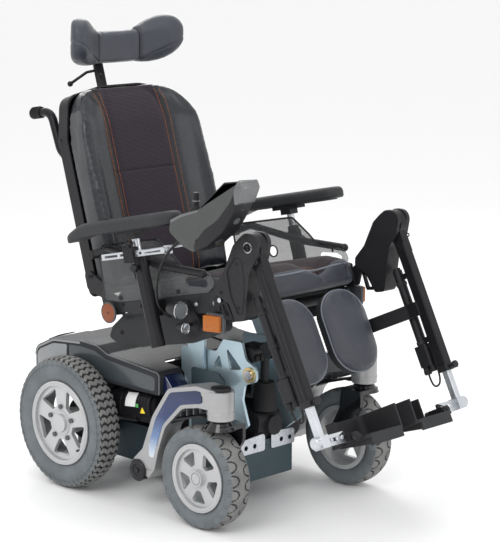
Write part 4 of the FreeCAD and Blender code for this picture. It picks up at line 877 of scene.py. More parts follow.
def tyre(name, x, y, z, radius, bead, half, body, tread, pitches, deep, around):
    """Tyre with a moulded tread, and painted shade in its grooves."""
    tall = radius - bead
    wall = [(bead, 0.66), (bead + 5, 0.70), (bead + 9, 0.80), (bead + tall * 0.38, 0.965), (bead + tall * 0.55, 1.0),
        (bead + tall * 0.70, 0.975), (bead + tall * 0.80, 0.93), (bead + tall * 0.86, 0.885)]
    crown = []
    steps = 34
    for i in range(steps + 1):
        a = -1 + 2 * i / steps
        crown.append((a, radius - tall * 0.105 * abs(a) ** 2.4, a * 0.84))
    verts, faces, count = [], [], 0
    shoulder = bead + tall * 0.66
    for k, t in enumerate(round_turn(around)):
        turn = k / around * pitches
        notch = 1 - tread(turn, 0.93)
        ring = [(r, -w * half * (1 - (0.08 * notch if r > shoulder else 0))) for r, w in wall]
        for a, r, w in crown:
            edge = 1 - 0.4 * smoothstep(abs(a), 0.90, 1.0)
            ring.append((r - deep * (1 - tread(turn, a)) * edge, w * half))
        notch = 1 - tread(turn, -0.93)
        ring += [(r, w * half * (1 - (0.08 * notch if r > shoulder else 0))) for r, w in reversed(wall)]
        count = len(ring)
        for r, w in ring:
            verts.append((x + r * cos(t), y + w, z + r * sin(t)))
    for k in range(around):
        n = (k + 1) % around
        for i in range(count - 1):
            faces.append((k * count + i, k * count + i + 1, n * count + i + 1, n * count + i))
        faces.append((k * count + count - 1, k * count, n * count, n * count + count - 1))
    made = piece(name, verts, faces, CHAIR, body, [TYRE, TREAD, TREAD_GROOVE_PAINTED_SHADE], hard=60)

    def on_tread(spot, normal):
        p = TO_CHAIR @ spot
        out, a = hypot(p.x - x, p.z - z), abs(p.y - y) / (half * 0.84)
        if a > 1.02 or out < radius - tall * 0.16:
            return 0
        # faces deep in the grooves take the painted groove shade
        return 2 if out < radius - tall * 0.105 * a ** 2.4 - deep * 0.45 else 1

    split_by(made, on_tread)
    return made


def ring_bead(name, x, y, z, radius, thick, body, material):
    """Thin raised ring on a wheel."""
    line = [CHAIR @ Vector((x + radius * cos(t), y, z + radius * sin(t))) for t in round_turn(72, 1)]
    return tube(name, line, thick * 0.001, body, material, sides=8)


def repaint(node_name, materials, choose=None):
    """Give a CAD node its finish; choose(point in chair mm, normal) picks between several."""
    thing = frame["nodes"][node_name]
    thing.data.materials.clear()
    for material in materials:
        thing.data.materials.append(material)
    for face in thing.data.polygons:
        face.material_index = choose(TO_CHAIR @ face.center, face.normal) if choose else 0


ONE_FINISH = {"top_cover": LID, "tilt_uprights": ZINC, "tie_down_plates": STEEL, "side_rods": PLASTIC,
    "arm_sockets": BLACK_METAL, "back_shell": SHELL, "joystick_gimbal": STEEL, "joystick_stick": PLASTIC,
    "power_button": PLASTIC_MATTE}
ONE_FINISH_EACH_SIDE = {"drive_rim": RIM, "castor_rim": RIM, "castor_fork": GLOSS_BLACK, "leg_tube": BLACK_METAL,
    "leg_actuator": PLASTIC, "footplate": PLASTIC_MATTE, "latch_lever": BLACK_METAL}
for name, material in ONE_FINISH.items():
    repaint(name, [material])
for name, material in ONE_FINISH_EACH_SIDE.items():
    for side, s in SIDES:
        repaint(f"{name}_{side}", [material])

for side, s in SIDES:
    wheel = tyre(f"drive_tyre_skin_{side}", 0, s * 287, DRIVE_Z, 177.8, 110.3, 37.2, f"drive_wheel_{side}",
        block_tread, 52, 4.6, 728)
    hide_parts(f"drive_tyre_{side}")
    wheel = tyre(f"castor_tyre_skin_{side}", CASTOR_X, s * CASTOR_Y, CASTOR_Z, 131.3, 84.3, 36.6,
        f"castor_wheel_{side}", lug_tread, 22, 3.0, 440)
    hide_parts(f"castor_tyre_{side}")
    repaint(f"drive_wheel_bolts_{side}", [GREY_TRIM, RIM], lambda p, n: 1 if hypot(p.x, p.z - DRIVE_Z) < 30 else 0)
    for name, y, radius, thick, material in ((f"rim_bead_{side}", 320, 107.5, 1.2, RIM),
            (f"wall_bead_{side}_146", 287 + 36.6, 146, 0.8, TYRE), (f"wall_bead_{side}_158", 287 + 36.6, 158, 0.8,
            TYRE)):
        ring_bead("drive_" + name, 0, s * y, DRIVE_Z, radius, thick, f"drive_wheel_{side}", material)
    for name, y, radius, thick, material in (("wall", CASTOR_Y + 36.2, 108, 0.8, TYRE), ("rim", 300, 82, 1.1, RIM),
            ("cap", 302.2, 15, 0.8, GREY_TRIM)):
        ring_bead(f"castor_{name}_bead_{side}", CASTOR_X, s * y, CASTOR_Z, radius, thick, f"castor_wheel_{side}",
            material)
    for k in range(3):
        a = radians(90 + 120 * k)
        lathe(f"castor_screw_{side}_{k}", [(0, 0), (2.6, 0), (2.8, 0.8), (2.2, 1.4), (0, 1.4)],
            (CASTOR_X + 9 * cos(a), s * 302.2, CASTOR_Z + 9 * sin(a)), (0, s, 0), CHAIR, f"castor_wheel_{side}",
            STEEL, count=12)

# ---- base -------------------------------------------------------------------------------
repaint("chassis_frame", [FRAME_BLUE, BLACK_METAL], lambda p, n: 1 if abs(p.y) > 160 else 0)
repaint("battery_pack", [PLASTIC_MATTE, STEEL], lambda p, n: 1 if p.z > 232.5 else 0)
repaint("tilt_bushes", [BRASS, STEEL], lambda p, n: 1 if abs(p.y) > 123.2 else 0)
repaint("drive_motors", [BLACK_METAL, STEEL], lambda p, n: 1 if abs(p.y) > 247 else 0)
repaint("tilt_actuator", [PLASTIC_MATTE, RUBBER, FRAME_GREY], lambda p,
    n: 2 if p.z > 319 else (1 if 245 < p.z <= 319 and hypot(p.x - 452, p.y) < 36 else 0))
repaint("control_box", [PLASTIC, PLASTIC_MATTE], lambda p, n: 1 if p.x > 514.5 else 0)

COVER = [(-198, 236, 12), (-198, 345, 36), (-118, 381, 60), (0, 391, 90), (62, 388, 24), (104, 371, 30),
    (209, 363, 90), (306, 355, 14), (306, 291, 12), (99, 291, 10), (86, 236, 10)]
cover_line = outline(COVER, 7)
rings = [(-240, 9), (-239.2, 5.5), (-237, 2.8), (-233, 0.8), (-226, 0)]
rings += [(y, 0) for y in (-150, 0, 150)] + [(-y, draw) for y, draw in reversed(rings[:5])]
skins = [[(p.x, y, p.y) for p in inset(cover_line, draw)] for y, draw in rings]
cover = loft("base_cover", skins, CHAIR, "base", [SILVER, LID, SHELL], hard=30)
work = bmesh.new()
work.from_mesh(cover.data)
gone = [f for f in work.faces if f.normal.z < -0.85]
bmesh.ops.delete(work, geom=gone, context="FACES")
work.to_mesh(cover.data)
work.free()
thick = cover.modifiers.new("wall", "SOLIDIFY")
thick.thickness = 0.003
thick.offset = -1
cutters = [slab("cut_well", rect(229, -157, 330, 157, 16), "z", 270, 420, CHAIR, None, SHELL, edge=0.1),
    slab("cut_port", rect(-149, -119.4, 189.4, 119.4, 30, 20, 20, 30), "z", 340, 420, CHAIR, None, SHELL, edge=0.1)]
for cutter in cutters:
    cut = cover.modifiers.new("cut", "BOOLEAN")
    cut.operation = "DIFFERENCE"
    cut.solver = "EXACT"
    cut.object = cutter
bpy.context.view_layer.update()
finished = evaluated(cover)
finished.set_sharp_from_angle(angle=radians(28))
cover.modifiers.clear()
cover.data = finished
for cutter in cutters:
    bpy.data.objects.remove(cutter)
split_by(cover, lambda c, n: (1 if (n.z > 0.35 and abs(c.y) < 0.2375) or (TO_CHAIR @ c).x > -50 else 0))
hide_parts("rear_cover")
for side, s in SIDES:
    edge = [CHAIR @ Vector((p.x, s * 236.4, p.y)) for p in inset(cover_line, 2.2) if p.y > 296 and p.x < 305]
    tube(f"cover_edge_line_{side}", edge, 0.0021, "base", CAP_SILVER, sides=8)
    slab(f"cover_side_rear_{side}", [(-184, 262, 14), (-184, 336, 26), (-116, 366, 50), (-58, 372, 6), (-58, 262, 6)],
        "y", s * 239.2, s * 241.4, CHAIR, "base", SILVER, edge=1.1)
    slab(f"cover_side_front_{side}", [(-48, 262, 6), (-48, 373, 6), (0, 376, 80), (56, 373, 24), (98, 357, 30),
        (205, 349, 60), (292, 342, 12), (292, 304, 10), (92, 304, 20), (74, 262, 12)], "y", s * 239.2, s * 241.4,
        CHAIR, "base", SLATE, edge=1.1)
    slab(f"trough_{side}", [(232, 352, 10), (312, 345, 10), (352, 300, 20), (352, 262, 10), (322, 262, 10),
        (296, 318, 26), (232, 330, 10)], "y", s * 162, s * 222, CHAIR, "base", BLUE_GLOSS, edge=5)
    sloped = CHAIR @ lean(-156, 371, 22) @ Matrix.Translation((156, 0, -372.5))
    slab(f"rear_blue_strip_{side}", rect(-186, s * 150, -126, s * 206, 4, 6, 10, 10), "z", 370, 373, sloped, "base",
        BLUE_GLOSS, edge=1.0)
    # motor: cooling rings, blank rating plate and plain marks
    for k, x in enumerate((118, 150, 246)):
        z = 221 + (x - 10) / 252 * 29
        lathe(f"motor_rib_{side}_{k}", [(46.5, -2.2), (48.6, -1.6), (48.6, 1.6), (46.5, 2.2)], (x, s * 188, z),
            (252, 0, 29), CHAIR, "base", BLACK_METAL, count=48, caps=False)
    plate_place = CHAIR @ lean(206, 243.5, 6.6)
    bend = []
    for u in (-36, 4):
        for t in range(4, 53, 6):
            a = radians(t)
            bend.append((u, s * (188 + 47.7 * cos(a)), 47.7 * sin(a)))
    count = len(bend) // 2
    piece(f"motor_plate_{side}", bend, [(i, i + 1, count + i + 1, count + i) for i in range(count - 1)], plate_place,
        "base", WHITE)
    mark_y = (s * 235.2, s * 236.4)
    slab(f"motor_mark_{side}", rect(7, 2, 17, 12, 1), "y", *mark_y, plate_place, "base", GREEN, edge=0.3)
    slab(f"motor_triangle_{side}", [(22, -12, 1), (42, -12, 1), (32, 4, 1)], "y", *mark_y, plate_place, "base",
        YELLOW, edge=0.3)

slab("well_floor", rect(231, -155, 318, 155, 10), "z", 281, 284, CHAIR, "base", PLASTIC_MATTE, edge=1)
slab("well_wall", rect(-155, 246, 155, 354, 6, 6, 12, 12), "x", 225.5, 228, CHAIR, "base", PLASTIC_MATTE, edge=0.8)
slab("cross_sheet", [(-109, 288, 4), (109, 288, 4), (109, 372, 4), (60, 372, 6), (48, 350, 10), (-48, 350, 10),
    (-60, 372, 6), (-109, 372, 4)], "x", 264, 267, CHAIR, "base", ZINC, edge=0.8)

# castor arms: inlay, ribs, caps
for side, s in SIDES:
    arm = f"castor_arm_{side}"
    repaint(f"castor_arm_{side}", [CASTING, PLASTIC_MATTE], lambda p, n: 1 if p.z < 132 and p.x < 325 else 0)
    # the inlay's material carries a painted reflection at its lower tip
    slab(f"castor_inlay_{side}", [(331, 180, 4), (357, 257, 110), (411, 335, 26), (505, 357, 50), (524, 357, 5),
        (524, 326, 6), (508, 323, 14), (450, 310, 40), (383, 244, 60), (358, 178, 50), (350, 152, 5), (333, 152, 6)],
        "y", s * 297.2, s * 300.6, CHAIR, arm, [INLAY_WITH_PAINTED_REFLECTION], edge=1.2)
    for k, (x, z, drop) in enumerate(((418, 298, 26), (440, 306, 30), (464, 312, 30), (488, 318, 28),
            (511, 321, 22))):
        slab(f"arm_rib_{side}_{k}", [(x - 2, z + 6, 1), (x + 2, z + 8, 1), (x + 2, z - drop, 1),
            (x - 2, z - drop + 2, 1)], "y", s * 250, s * 292, CHAIR, arm, GREY_TRIM, edge=0.6)
    slab(f"arm_rib_band_{side}", [(408, 272, 8), (420, 268, 6), (512, 293, 6), (530, 293, 4), (530, 288, 3),
        (510, 288, 6), (418, 260, 8), (400, 246, 6)], "y", s * 248, s * 294, CHAIR, arm, PLASTIC_MATTE, edge=1.0)
    lathe(f"stem_cap_{side}", [(0, 0), (26, 0), (26, 5), (24.5, 8), (20, 10), (0, 11)], (STEM_X, s * CASTOR_Y, 362),
        (0, 0, 1), CHAIR, arm, PLASTIC)
    lathe(f"stem_collar_{side}", [(33.9, -4), (35.2, -3), (35.2, 3), (33.9, 4)], (STEM_X, s * CASTOR_Y, 306),
        (0, 0, 1), CHAIR, arm, CASTING, caps=False)
    lathe(f"pivot_cap_{side}", [(0, 0), (29, 0), (29, 4), (26, 7), (16, 8), (14, 5), (0, 5)], (292, s * 299.6, 108),
        (0, s, 0), CHAIR, arm, PLASTIC)
    lathe(f"pivot_bolt_{side}", [(0, 0), (7, 0), (7, 3), (5.8, 4), (0, 4)], (292, s * 304.4, 108), (0, s, 0), CHAIR,
        arm, PLASTIC_MATTE, count=6)
    lathe(f"axle_bolt_{side}", [(0, 0), (9, 0), (9, 4), (7.5, 6), (0, 6)], (CASTOR_X, s * 225.4, CASTOR_Z),
        (0, -s, 0), CHAIR, f"castor_fork_{side}", STEEL, count=6)

# ---- seat hardware -----------------------------------------------------------------------
def bolt_head(name, x, y, z, outward, radius, place, body, material=None):
    """Domed hex-socket head with a washer."""
    lathe(name, [(0, 0), (radius * 1.35, 0), (radius * 1.35, radius * 0.22), (radius, radius * 0.24),
        (radius, radius * 0.6), (radius * 0.75, radius * 0.9), (radius * 0.48, radius * 0.95),
        (radius * 0.42, radius * 0.4), (0, radius * 0.4)], (x, y, z), (0, outward, 0), place, body, material or STEEL,
        count=18)


repaint("seat_frame", [FRAME_GREY, ZINC], lambda p, n: 1 if abs(p.y) < 135 and p.z < 470 and abs(p.y) > 104 else 0)
repaint("side_panels", [PANEL, PLASTIC], lambda p, n: 1 if abs(p.y) > 250.3 else 0)
repaint("legrest_housings", [PLASTIC, PLASTIC_MATTE, STEEL], lambda p, n: 2 if abs(p.y) > 280.2
    else (1 if 278 < abs(p.y) < 280 and abs(n.y) > 0.9 else 0))
repaint("push_handles", [RUBBER, BLACK_METAL], lambda p, n: 0 if (TO_BACK @ (CHAIR @ p)).x < -206.5 else 1)
repaint("headrest_post", [BLACK_METAL, CHROME, GREY_TRIM], lambda p, n: 1 if abs(p.y) > 16.5 and p.z > 1120
    else (2 if p.z > 1112 and abs(p.y) < 16.5 else 0))
for side, s in SIDES:
    repaint(f"arm_post_{side}", [ALUMINIUM, PLASTIC], lambda p, n: 1 if abs((TO_SEAT @ (CHAIR @ p)).z - 392) < 14
        and abs(n.y) < 2 and (TO_SEAT @ (CHAIR @ p)).z > 380 else 0)
    repaint(f"foot_tube_{side}", [ALUMINIUM, PLASTIC], lambda p, n: 1 if abs(p.y) < 187 else 0)
    # frame bolts, side panel's edge and grommet, armrest socket
    for k, (x, z) in enumerate(((-372, 214), (-300, 206), (-150, 200), (-96, 198), (-30, 196))):
        bolt_head(f"rail_bolt_{side}_{k}", x, s * 246, z, s, 4.2, SEAT, "seat", STEEL if k > 2 else BLACK_METAL)
    for k, (x, z) in enumerate(((-418, 140), (-300, 128), (-180, 128), (-60, 140))):
        bolt_head(f"member_bolt_{side}_{k}", x, s * 224, z, s, 4.4, SEAT, "seat", BLACK_METAL)
    edge = [Vector((p.x, p.y)) for p in outline([(-434, 232, 8), (-434, 345, 12), (-418, 373, 14), (-201, 371, 18),
        (-150, 322, 30), (-118, 286, 24), (-30, 272, 22)], 5)]
    top_edge = [SEAT @ Vector((p.x, s * 248.5, p.y)) for p in edge[5:]]
    tube(f"panel_trim_{side}", top_edge, 0.0026, "seat", PLASTIC, sides=8)
    hole = [SEAT @ Vector((-290 + 15.3 * cos(t), s * 248.5, 286 + 15.3 * sin(t))) for t in round_turn(32, 1)]
    tube(f"panel_grommet_{side}", hole, 0.0022, "seat", PLASTIC, sides=8)
    lathe(f"socket_collar_{side}", [(10.6, 0), (15.5, 0), (15.5, 10), (13.5, 13), (10.6, 13)], (0, s * ARM_Y, 234),
        (0, 0, 1), SOCKET, "seat", PLASTIC, caps=False)
    lathe(f"arm_thumbscrew_{side}", [(0, 0), (4, 0), (4, 8), (10, 8), (11, 10), (11, 16), (9, 18), (0, 18)],
        (0, s * (ARM_Y + 12.5), 206), (0, s, 0), SOCKET, "seat", PLASTIC, count=14)
    # lamps
    for tag, x, z, r, depth in (("big", 440, 547, 23, 44), ("small", 457, 505, 14, 30)):
        bucket = [(r * 0.25, -depth), (r * 0.55, -depth + 3), (r * 0.82, -depth * 0.55), (r * 0.98, -depth * 0.2),
            (r, -2), (r + 0.6, 0), (r - 0.6, 0), (r - 1.4, -4), (r * 0.7, -depth * 0.62), (r * 0.25, -depth + 2)]
        reflector = [(r + 0.5, 0.1), (r + 0.4, 2), (r - 1.5, 2.2), (r - 2.2, 0), (r - 4, -depth * 0.25),
            (r * 0.3, -depth * 0.55), (r * 0.3, -depth * 0.58), (r - 3, -depth * 0.25), (r - 1.2, -1)]
        glass = [(0, 2.6), (r * 0.5, 2.3), (r - 3, 1.2), (r - 2.3, -0.5), (0, -0.5)]
        bulb = [(0, 0), (r * 0.16, -1), (r * 0.2, -4), (r * 0.2, -8), (0, -9)]
        for part, profile, behind, material, count in (("bucket", bucket, 0, PLASTIC, 40), ("reflector", reflector, 0,
                CHROME, 40), ("glass", glass, 0, GLASS, 40), ("bulb", bulb, 4, WHITE, 16)):
            lathe(f"lamp_{part}_{tag}_{side}", profile, (x - behind, s * LAMP_Y, z), (1, 0, 0), CHAIR, "seat",
                material, count=count)
    slab(f"lamp_stay_{side}", [(384, 560, 6), (424, 566, 6), (470, 520, 10), (462, 488, 8), (420, 488, 8)], "y",
        s * 248, s * 252, CHAIR, "seat", BLACK_METAL, edge=0.8)
    for tag, x, z, r in (("big", 404, 547, 6), ("small", 436, 505, 5)):
        lathe(f"lamp_arm_{tag}_{side}", [(0, 0), (r, 0), (r, 34), (0, 34)], (x, s * 251, z), (0, s, 0), CHAIR, "seat",
            BLACK_METAL, count=18)
    # indicator, reflector
    slab(f"indicator_housing_{side}", [(508, s * 268, 3), (562, s * 261, 4), (562, s * 251, 3), (508, s * 251, 3)],
        "z", 502, 550, CHAIR, "seat", GREY_TRIM, edge=2)
    slab(f"indicator_lens_{side}", [(512, s * 286, 4), (558, s * 272, 4), (558, s * 262, 3), (512, s * 268, 3)], "z",
        506, 546, CHAIR, "seat", AMBER, edge=2.2)
    spot = (REFLECTOR_AT[0], s * REFLECTOR_AT[1], REFLECTOR_AT[2])
    for part, profile, material, count in (("reflector", [(0, 8), (20, 8), (24.5, 7.2), (25, 6), (0, 6)], AMBER_DARK,
            40), ("reflector_dot", [(0, 8.6), (2.4, 8.5), (2.8, 7.9), (0, 7.9)], PLASTIC_MATTE, 16),
            ("reflector_cup", [(0, -12), (6, -12), (6, 0), (24, 0), (27.5, 2), (28, 7), (25.2, 7.6), (24.8, 5.5),
            (0, 5.5)], GREY_TRIM, 40)):
        lathe(f"{part}_{side}", profile, spot, (0, s, 0), CHAIR, "seat", material, count=count)
for anchor, name in (("lamp_stay_right", "headlamps"), ("indicator_housing_right", "indicators")):
    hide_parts(name)
for side, s in SIDES:
    # legrest housing: raised rim round the inlay, screws, bosses
    rim = [CHAIR @ Vector((p.x, s * 280.2, p.y))
        for p in inset(outline([(640, 700, 10), (618, 700, 10), (592, 664, 14), (606, 606, 14), (630, 566, 6),
        (644, 566, 6), (650, 640, 20)], 5), -1.2)]
    tube(f"housing_rim_{side}", rim + rim[:2], 0.0013, "seat", PLASTIC, sides=8)
    for k, (x, z, r) in enumerate(((664, 732, 8), (624, 688, 3), (632, 580, 3), (573, 610, 3.4))):
        bolt_head(f"housing_screw_{side}_{k}", x, s * (283 if k == 0 else (278.6 if k < 3 else 280)), z, s, r, CHAIR,
            "seat", BLACK_METAL)
    for k, (x, z) in enumerate(((655, 756), (690, 700), (657, 600))):
        lathe(f"housing_boss_{side}_{k}", [(2.6, 0), (5.6, 0), (5.4, 1.6), (4.6, 2.2), (3.2, 2.2), (2.6, 1)],
            (x, s * 279.9, z), (0, s, 0), CHAIR, "seat", PLASTIC_MATTE, count=20, caps=False)
    lathe(f"lever_pin_cap_{side}", [(0, 0), (6.2, 0), (6.2, 1.6), (4.6, 2.6), (0, 3)], (559, s * 271.6, 588),
        (0, s, 0), CHAIR, "seat", STEEL, count=24)
    # leg: side grooves, end collar, actuator rings and its cable
    leg = f"leg_{side}"
    y = s * LEG_Y
    for k, dx in enumerate((-7, 7)):
        slab(f"leg_groove_{side}_{k}", rect(dx - 2.2, -372, dx + 2.2, -44, 1), "y", y + s * 13.2, y + s * 14.3, LEG,
            leg, PLASTIC_MATTE, edge=0.5)
    slab(f"leg_collar_{side}", rect(-18, y - 15.5, 18, y + 15.5, 6), "z", -380, -364, LEG, leg, PLASTIC, edge=2)
    slab(f"leg_pinch_{side}", rect(16, -376, 27, -366, 2, 4, 4, 2), "y", y - 6, y + 6, LEG, leg, PLASTIC, edge=1)
    lathe(f"leg_pinch_knob_{side}", [(0, 0), (5, 0), (5, 4), (9, 5), (10, 8), (9.5, 13), (0, 14)], (24, y, -371),
        (1, 0, 0), LEG, leg, PLASTIC, count=12)
    for z in (-130, -214, -290):
        lathe(f"ram_ring_{side}_{-z}", [(12.4, -5), (14.4, -4), (14.4, 4), (12.4, 5)], (-46.5, y, z), (0, 0, 1), LEG,
            leg, PLASTIC_MATTE, caps=False)
    lathe(f"leg_motor_cap_{side}", [(9.2, 0), (10.6, 0), (10.6, 9), (9, 12), (5, 13), (0, 13)], (-59.5, y, -360),
        (0, 0, -1), LEG, leg, PLASTIC)
    lathe(f"leg_gear_cap_{side}", [(9.2, 0), (10.6, 0), (10.6, 7), (8, 9), (0, 9)], (-38.5, y, -360), (0, 0, -1), LEG,
        leg, PLASTIC)
    wire = smooth_line([(-59.5, y, -372), (-60, y, -392), (-50, y - s * 4, -408), (-34, y - s * 2, -406),
        (-27, y, -388), (-26, y + s * 1, -360), (-25, y + s * 3, -310), (-24, y + s * 3, -220),
        (-23, y + s * 3, -120), (-22, y + s * 3, -70)], LEG)
    tube(f"leg_lead_{side}", wire, 0.0026, leg, CABLE, sides=10)
    # foot: knuckle cap ring, bar screws
    foot = f"foot_slider_{side}"
    lathe(f"knuckle_cap_{side}", [(0, 0), (14.5, 0), (14.5, 2), (12.5, 3.6), (11, 3.2), (10.4, 2.2), (0, 2.2)],
        (0, y + s * 22, -466), (0, s, 0), LEG, foot, ALUMINIUM)
    for k, across in enumerate((188, 205, 225)):
        lathe(f"bar_screw_{side}_{k}", [(0, -1), (5.4, -1), (5.4, 0.6), (4, 2.6), (2.2, 2.8), (2.0, 1.2), (0, 1.2)],
            (4, s * across, -467.5), (1, 0, 0), LEG, foot, STEEL, count=18)
    # footplate: mat with raised bars, edge bead
    plate_body = f"footplate_{side}"
    a, b = sorted((s * 148, s * 38))
    slab(f"foot_mat_{side}", rect(-66, a, 46, b, 16, 6, 12, 18), "z", -481.9, -480.4, LEG, plate_body, RUBBER,
        edge=0.7)
    for k in range(9):
        x = -56 + 12 * k
        slab(f"foot_bar_{side}_{k}", rect(x, a + 10, x + 4, b - 10, 1.2), "z", -480.6, -479.2, LEG, plate_body,
            RUBBER, edge=0.6)
    slab(f"foot_lip_{side}", rect(49.5, a - 1, 57.5, b + 3, 2, 3, 3, 2), "z", -509, -481, LEG, plate_body, FRAME_GREY,
        edge=2.2)

# ---- control pod -------------------------------------------------------------------------
repaint("joystick_rail", [ALUMINIUM, CHROME], lambda p, n: 1 if p.z > 742 else 0)
repaint("joystick_pod", [POD, PLASTIC], lambda p, n: 1 if n.x - n.z > 0.5 and p.x > 500 and p.z < 905
    and abs(n.y) < 0.6 and n.z < 0.2 else 0)
repaint("speed_knob", [PLASTIC, WHITE], lambda p, n: 1 if (p.x - 584) * -72 + (p.z - 842) * 84 > 8.75 * 110.6 else 0)
slab("pod_front_cover", [(537, 710.6, 18), (585, 732.6, 50), (637.4, 773, 40), (673.6, 823.5, 60), (705.6, 882, 8),
    (697, 899.4, 5), (686, 897, 5), (660, 846, 60), (618, 800, 40), (572, 770, 30), (540, 735, 16)], "y", -339.4,
    -282.8, CHAIR, "joystick", PLASTIC, edge=3)
for tag, low, high in (("near", -338.8, -331.5), ("far", -289.6, -283.3)):
    slab(f"pod_top_cap_{tag}", [(455, 781, 4), (494, 799.5, 18), (556, 817.5, 14), (552, 811, 14), (496, 793, 18),
        (457, 774, 4)], "y", low, high, CHAIR, "joystick", CAP_SILVER, edge=1.6)
    slab(f"pod_panel_frame_{tag}", [(560, 824, 6), (641, 891.4, 4), (694, 899.2, 5), (694, 895, 3), (642, 886, 4),
        (564, 820, 4)], "y", low, high, CHAIR, "joystick", PLASTIC_MATTE, edge=1.6)
for k in range(4):
    lathe(f"pod_dot_{k}", [(0, 0), (1.7, 0), (1.6, 0.6), (0, 0.9)], (676.5 + 6.5 * k, -311, 828 + 13 * k),
        (58, 0, -32), CHAIR, "joystick", CAP_SILVER, count=16)
slab("pod_nose_cap", [(676, 838, 8), (690, 846, 6), (706.4, 882, 8), (697.6, 900, 5), (684, 897.6, 5),
    (672, 872, 20)], "y", -340, -282.2, CHAIR, "joystick", CAP_SILVER, edge=3)
lathe("pod_socket", [(0, 0.6), (4.2, 0.6), (5.2, 2.0), (8.0, 2.4), (9.6, 1.4), (9.8, -0.5)], (656.2, -311, 798.5),
    (50.5, 0, -36.2), CHAIR, "joystick", GREY_TRIM)
lathe("pod_socket_eye", [(0, 1.6), (2.6, 1.5), (3.2, 0.8), (3.2, 0.2), (0, 0.2)], (656.2, -311, 798.5),
    (50.5, 0, -36.2), CHAIR, "joystick", CAP_SILVER, count=20)
for k, (x, z) in enumerate(((548, 742), (690, 884))):
    lathe(f"pod_screw_{k}", [(0, 0), (3.2, 0), (3.2, 0.6), (1.6, 0.8), (1.4, 0.2), (0, 0.2)], (x, -339.3, z),
        (0, -1, 0), CHAIR, "joystick", BLACK_METAL, count=18)
lathe("charge_socket", [(6, 0), (11.5, 0), (11.5, 3), (10, 4.4), (8.6, 4.4), (8, 1), (6, 0.5), (0, 0.5)],
    (602, -312, 739.3), (11, 0, -14), CHAIR, "joystick", PLASTIC_MATTE)
for k in range(3):
    a = radians(90 + 120 * k)
    lathe(f"charge_pin_{k}", [(0, 0), (1.2, 0), (1.2, 2.6), (0, 3)], (602.3 + 2.6 * cos(a), -312 + 3.4 * sin(a),
        739 + 2 * cos(a)), (11, 0, -14), CHAIR, "joystick", BRASS, count=12)
# ribbed gaiter round the stick, and its collar on the deck
profile = [(17, 0.4)]
for k in range(5):
    profile += [(16.4 - 2.0 * k, 1.6 + 3.0 * k), (14.9 - 2.0 * k, 3.0 + 3.0 * k), (15.3 - 2.0 * k, 3.6 + 3.0 * k)]
profile += [(5.6, 19), (4.6, 21)]
lathe("stick_gaiter", profile, (*STICK, 806), (0, 0, 1), CHAIR, "stick", RUBBER, caps=False)
lathe("stick_grip_ring", [(8.4, 0), (9.3, 0.8), (9.3, 3), (8.4, 3.8)], (*STICK, 830), (0, 0, 1), CHAIR, "stick",
    CAP_SILVER, caps=False)
lathe("deck_collar", [(19, -2), (24.5, -2), (24.5, 1), (22.5, 2.4), (19.5, 2.2), (19, 0)], (*STICK, 806.5),
    (-0.25, 0, 0.97), CHAIR, "joystick", PLASTIC_MATTE, caps=False)
DIAL, ACROSS = Vector((584, -304, 842)), Vector((0, 1, 0))
up = Vector((-72, 0, 84)).normalized()
for k, a in enumerate(round_turn(24)):
    out = ACROSS * cos(a) + up.cross(ACROSS) * sin(a)
    spot = DIAL + up * 4.6 + out * 9.8
    lathe(f"dial_rib_{k}", [(0, -3.3), (0.9, -3.3), (0.9, 3.2), (0, 3.6)], spot, up, CHAIR, "dial", PLASTIC_MATTE,
        count=6)
slab("rail_thumbscrew", rect(-252, -323, -228, -295, 3), "z", 359.5, 361.5, SEAT, "seat", BLACK_METAL, edge=0.8)
lathe("clamp_knob", [(0, 0), (9.2, 0), (10.4, 1.4), (10.4, 8), (8.8, 10), (0, 10.6)], (-240, -309, 365), (0, 0, 1),
    SEAT, "seat", PLASTIC, count=12)

# ---- back rest and headrest hardware --------------------------------------------------------
for side, s in SIDES:
    for k, z in enumerate((60, 430)):
        lathe(f"shell_screw_{side}_{k}", [(0, -1), (5, -1), (5, 1.2), (3.4, 2.4), (2, 2.4), (1.8, 1), (0, 1)],
            (-60, s * 236, z), (0, s, 0), BACK, "back", BLACK_METAL, count=18)
    for k in range(6):
        x = -212 - 5 * k
        ring = [BACK @ Vector((x, s * 160 + 15.9 * cos(t), 534 + (x + 206) * -0.135 + 15.9 * sin(t)))
            for t in round_turn(32, 1)]
        tube(f"grip_ring_{side}_{k}", ring, 0.0011, "back", RUBBER, sides=6)
lathe("headrest_lever_hub", [(0, 0), (8, 0), (8, 5), (6.5, 6.5), (0, 7)], (-99, -17.5, 600), (0, -1, 0), BACK,
    "headrest_stalk", BLACK_METAL)
slab("headrest_lever", [(-104, 594, 5), (-94, 594, 5), (-92, 560, 5), (-106, 560, 5)], "y", -24, -19.5, BACK,
    "headrest_stalk", BLACK_METAL, edge=1.4)

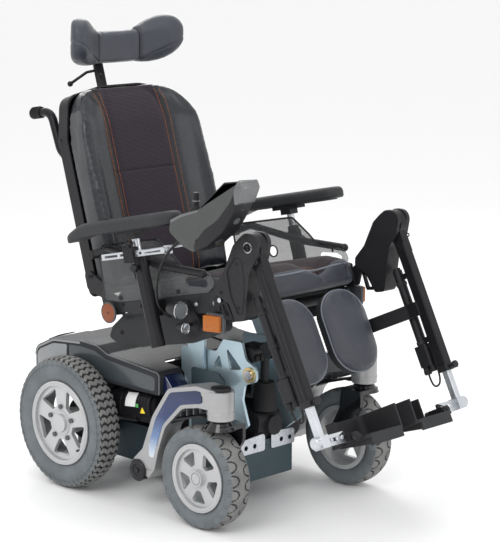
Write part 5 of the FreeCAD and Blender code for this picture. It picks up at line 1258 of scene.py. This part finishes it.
# ---- hand control's cable --------------------------------------------------------------
CABLE_ROUTE = [(467.5, -318, 729.6), (428, -320, 698), (394, -316, 651), (370, -307, 598), (359, -292, 551),
    (358, -272, 529), (358, -258, 522)]
cable_line = smooth_line(CABLE_ROUTE, CHAIR, steps=14)
cable = tube("joystick_lead", cable_line, 0.0033, None, CABLE, sides=16)
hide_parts("joystick_cable")
RELIEF = [(3.4, -2), (6.6, -2), (6.8, 2), (6.0, 3), (6.0, 5), (5.4, 6), (5.5, 8), (5.0, 9), (5.1, 11), (4.6, 12),
    (4.7, 14), (4.3, 15), (4.3, 18), (3.9, 22), (3.5, 24)]
lathe("cable_relief_pod", RELIEF, (469, -318, 730.8), (-39.5, -1.3, -31.6), CHAIR, "joystick", RUBBER, count=24,
    caps=False)
lathe("cable_relief_rail", RELIEF[:8] + [(4.6, 11), (3.8, 13), (3.4, 14)], (358, -258, 522), (0, -14, 7), CHAIR,
    "seat", RUBBER, count=24, caps=False)
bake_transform(cable)

# ---- floor, light, camera ----------------------------------------------------------------
bpy.ops.mesh.primitive_plane_add(size=120, location=(0, 0, -0.0004))
floor = bpy.context.object
floor.name = "studio_floor"
floor_finish = bpy.data.materials.new("floor")
floor_finish.use_nodes = True
tune(shader_of(floor_finish), Base_Color=(0.93, 0.93, 0.93, 1), Roughness=0.8)
floor.data.materials.append(floor_finish)

world = bpy.data.worlds.new("studio")
bpy.context.scene.world = world
world.use_nodes = True
tune(world.node_tree.nodes["Background"], Color=(1.0, 1.0, 1.0, 1), Strength=1.0)


def softbox(name, place, aim, size, power):
    lamp = bpy.data.lights.new(name, "AREA")
    lamp.shape = "RECTANGLE"
    lamp.size = size[0]
    lamp.size_y = size[1]
    lamp.energy = power
    thing = placed(name, lamp)
    thing.location = place
    thing.rotation_euler = facing(place, aim)


softbox("key", (1.2, -3.4, 3.2), (0, 0, 0.6), (2.2, 1.6), 62)
softbox("front", (3.6, 1.2, 1.9), (0, 0, 0.6), (1.6, 2.2), 22)
softbox("top", (-0.6, 0.2, 4.0), (0, 0, 0.5), (3.0, 3.0), 30)
softbox("rear", (-2.8, 1.8, 2.4), (0, 0, 0.7), (1.6, 1.6), 25)

camera = placed("camera", bpy.data.cameras.new("camera"))
camera.location = (3.3455, -3.3563, 1.4925)
camera.rotation_euler = facing(camera.location, (-0.085, 0, 0.58153))
camera.data.lens = 122.44
camera.data.sensor_width = 36
camera.data.shift_x = 0.0731
camera.data.shift_y = 0.0008
bpy.context.scene.camera = camera
bpy.context.scene.view_settings.view_transform = "Standard"
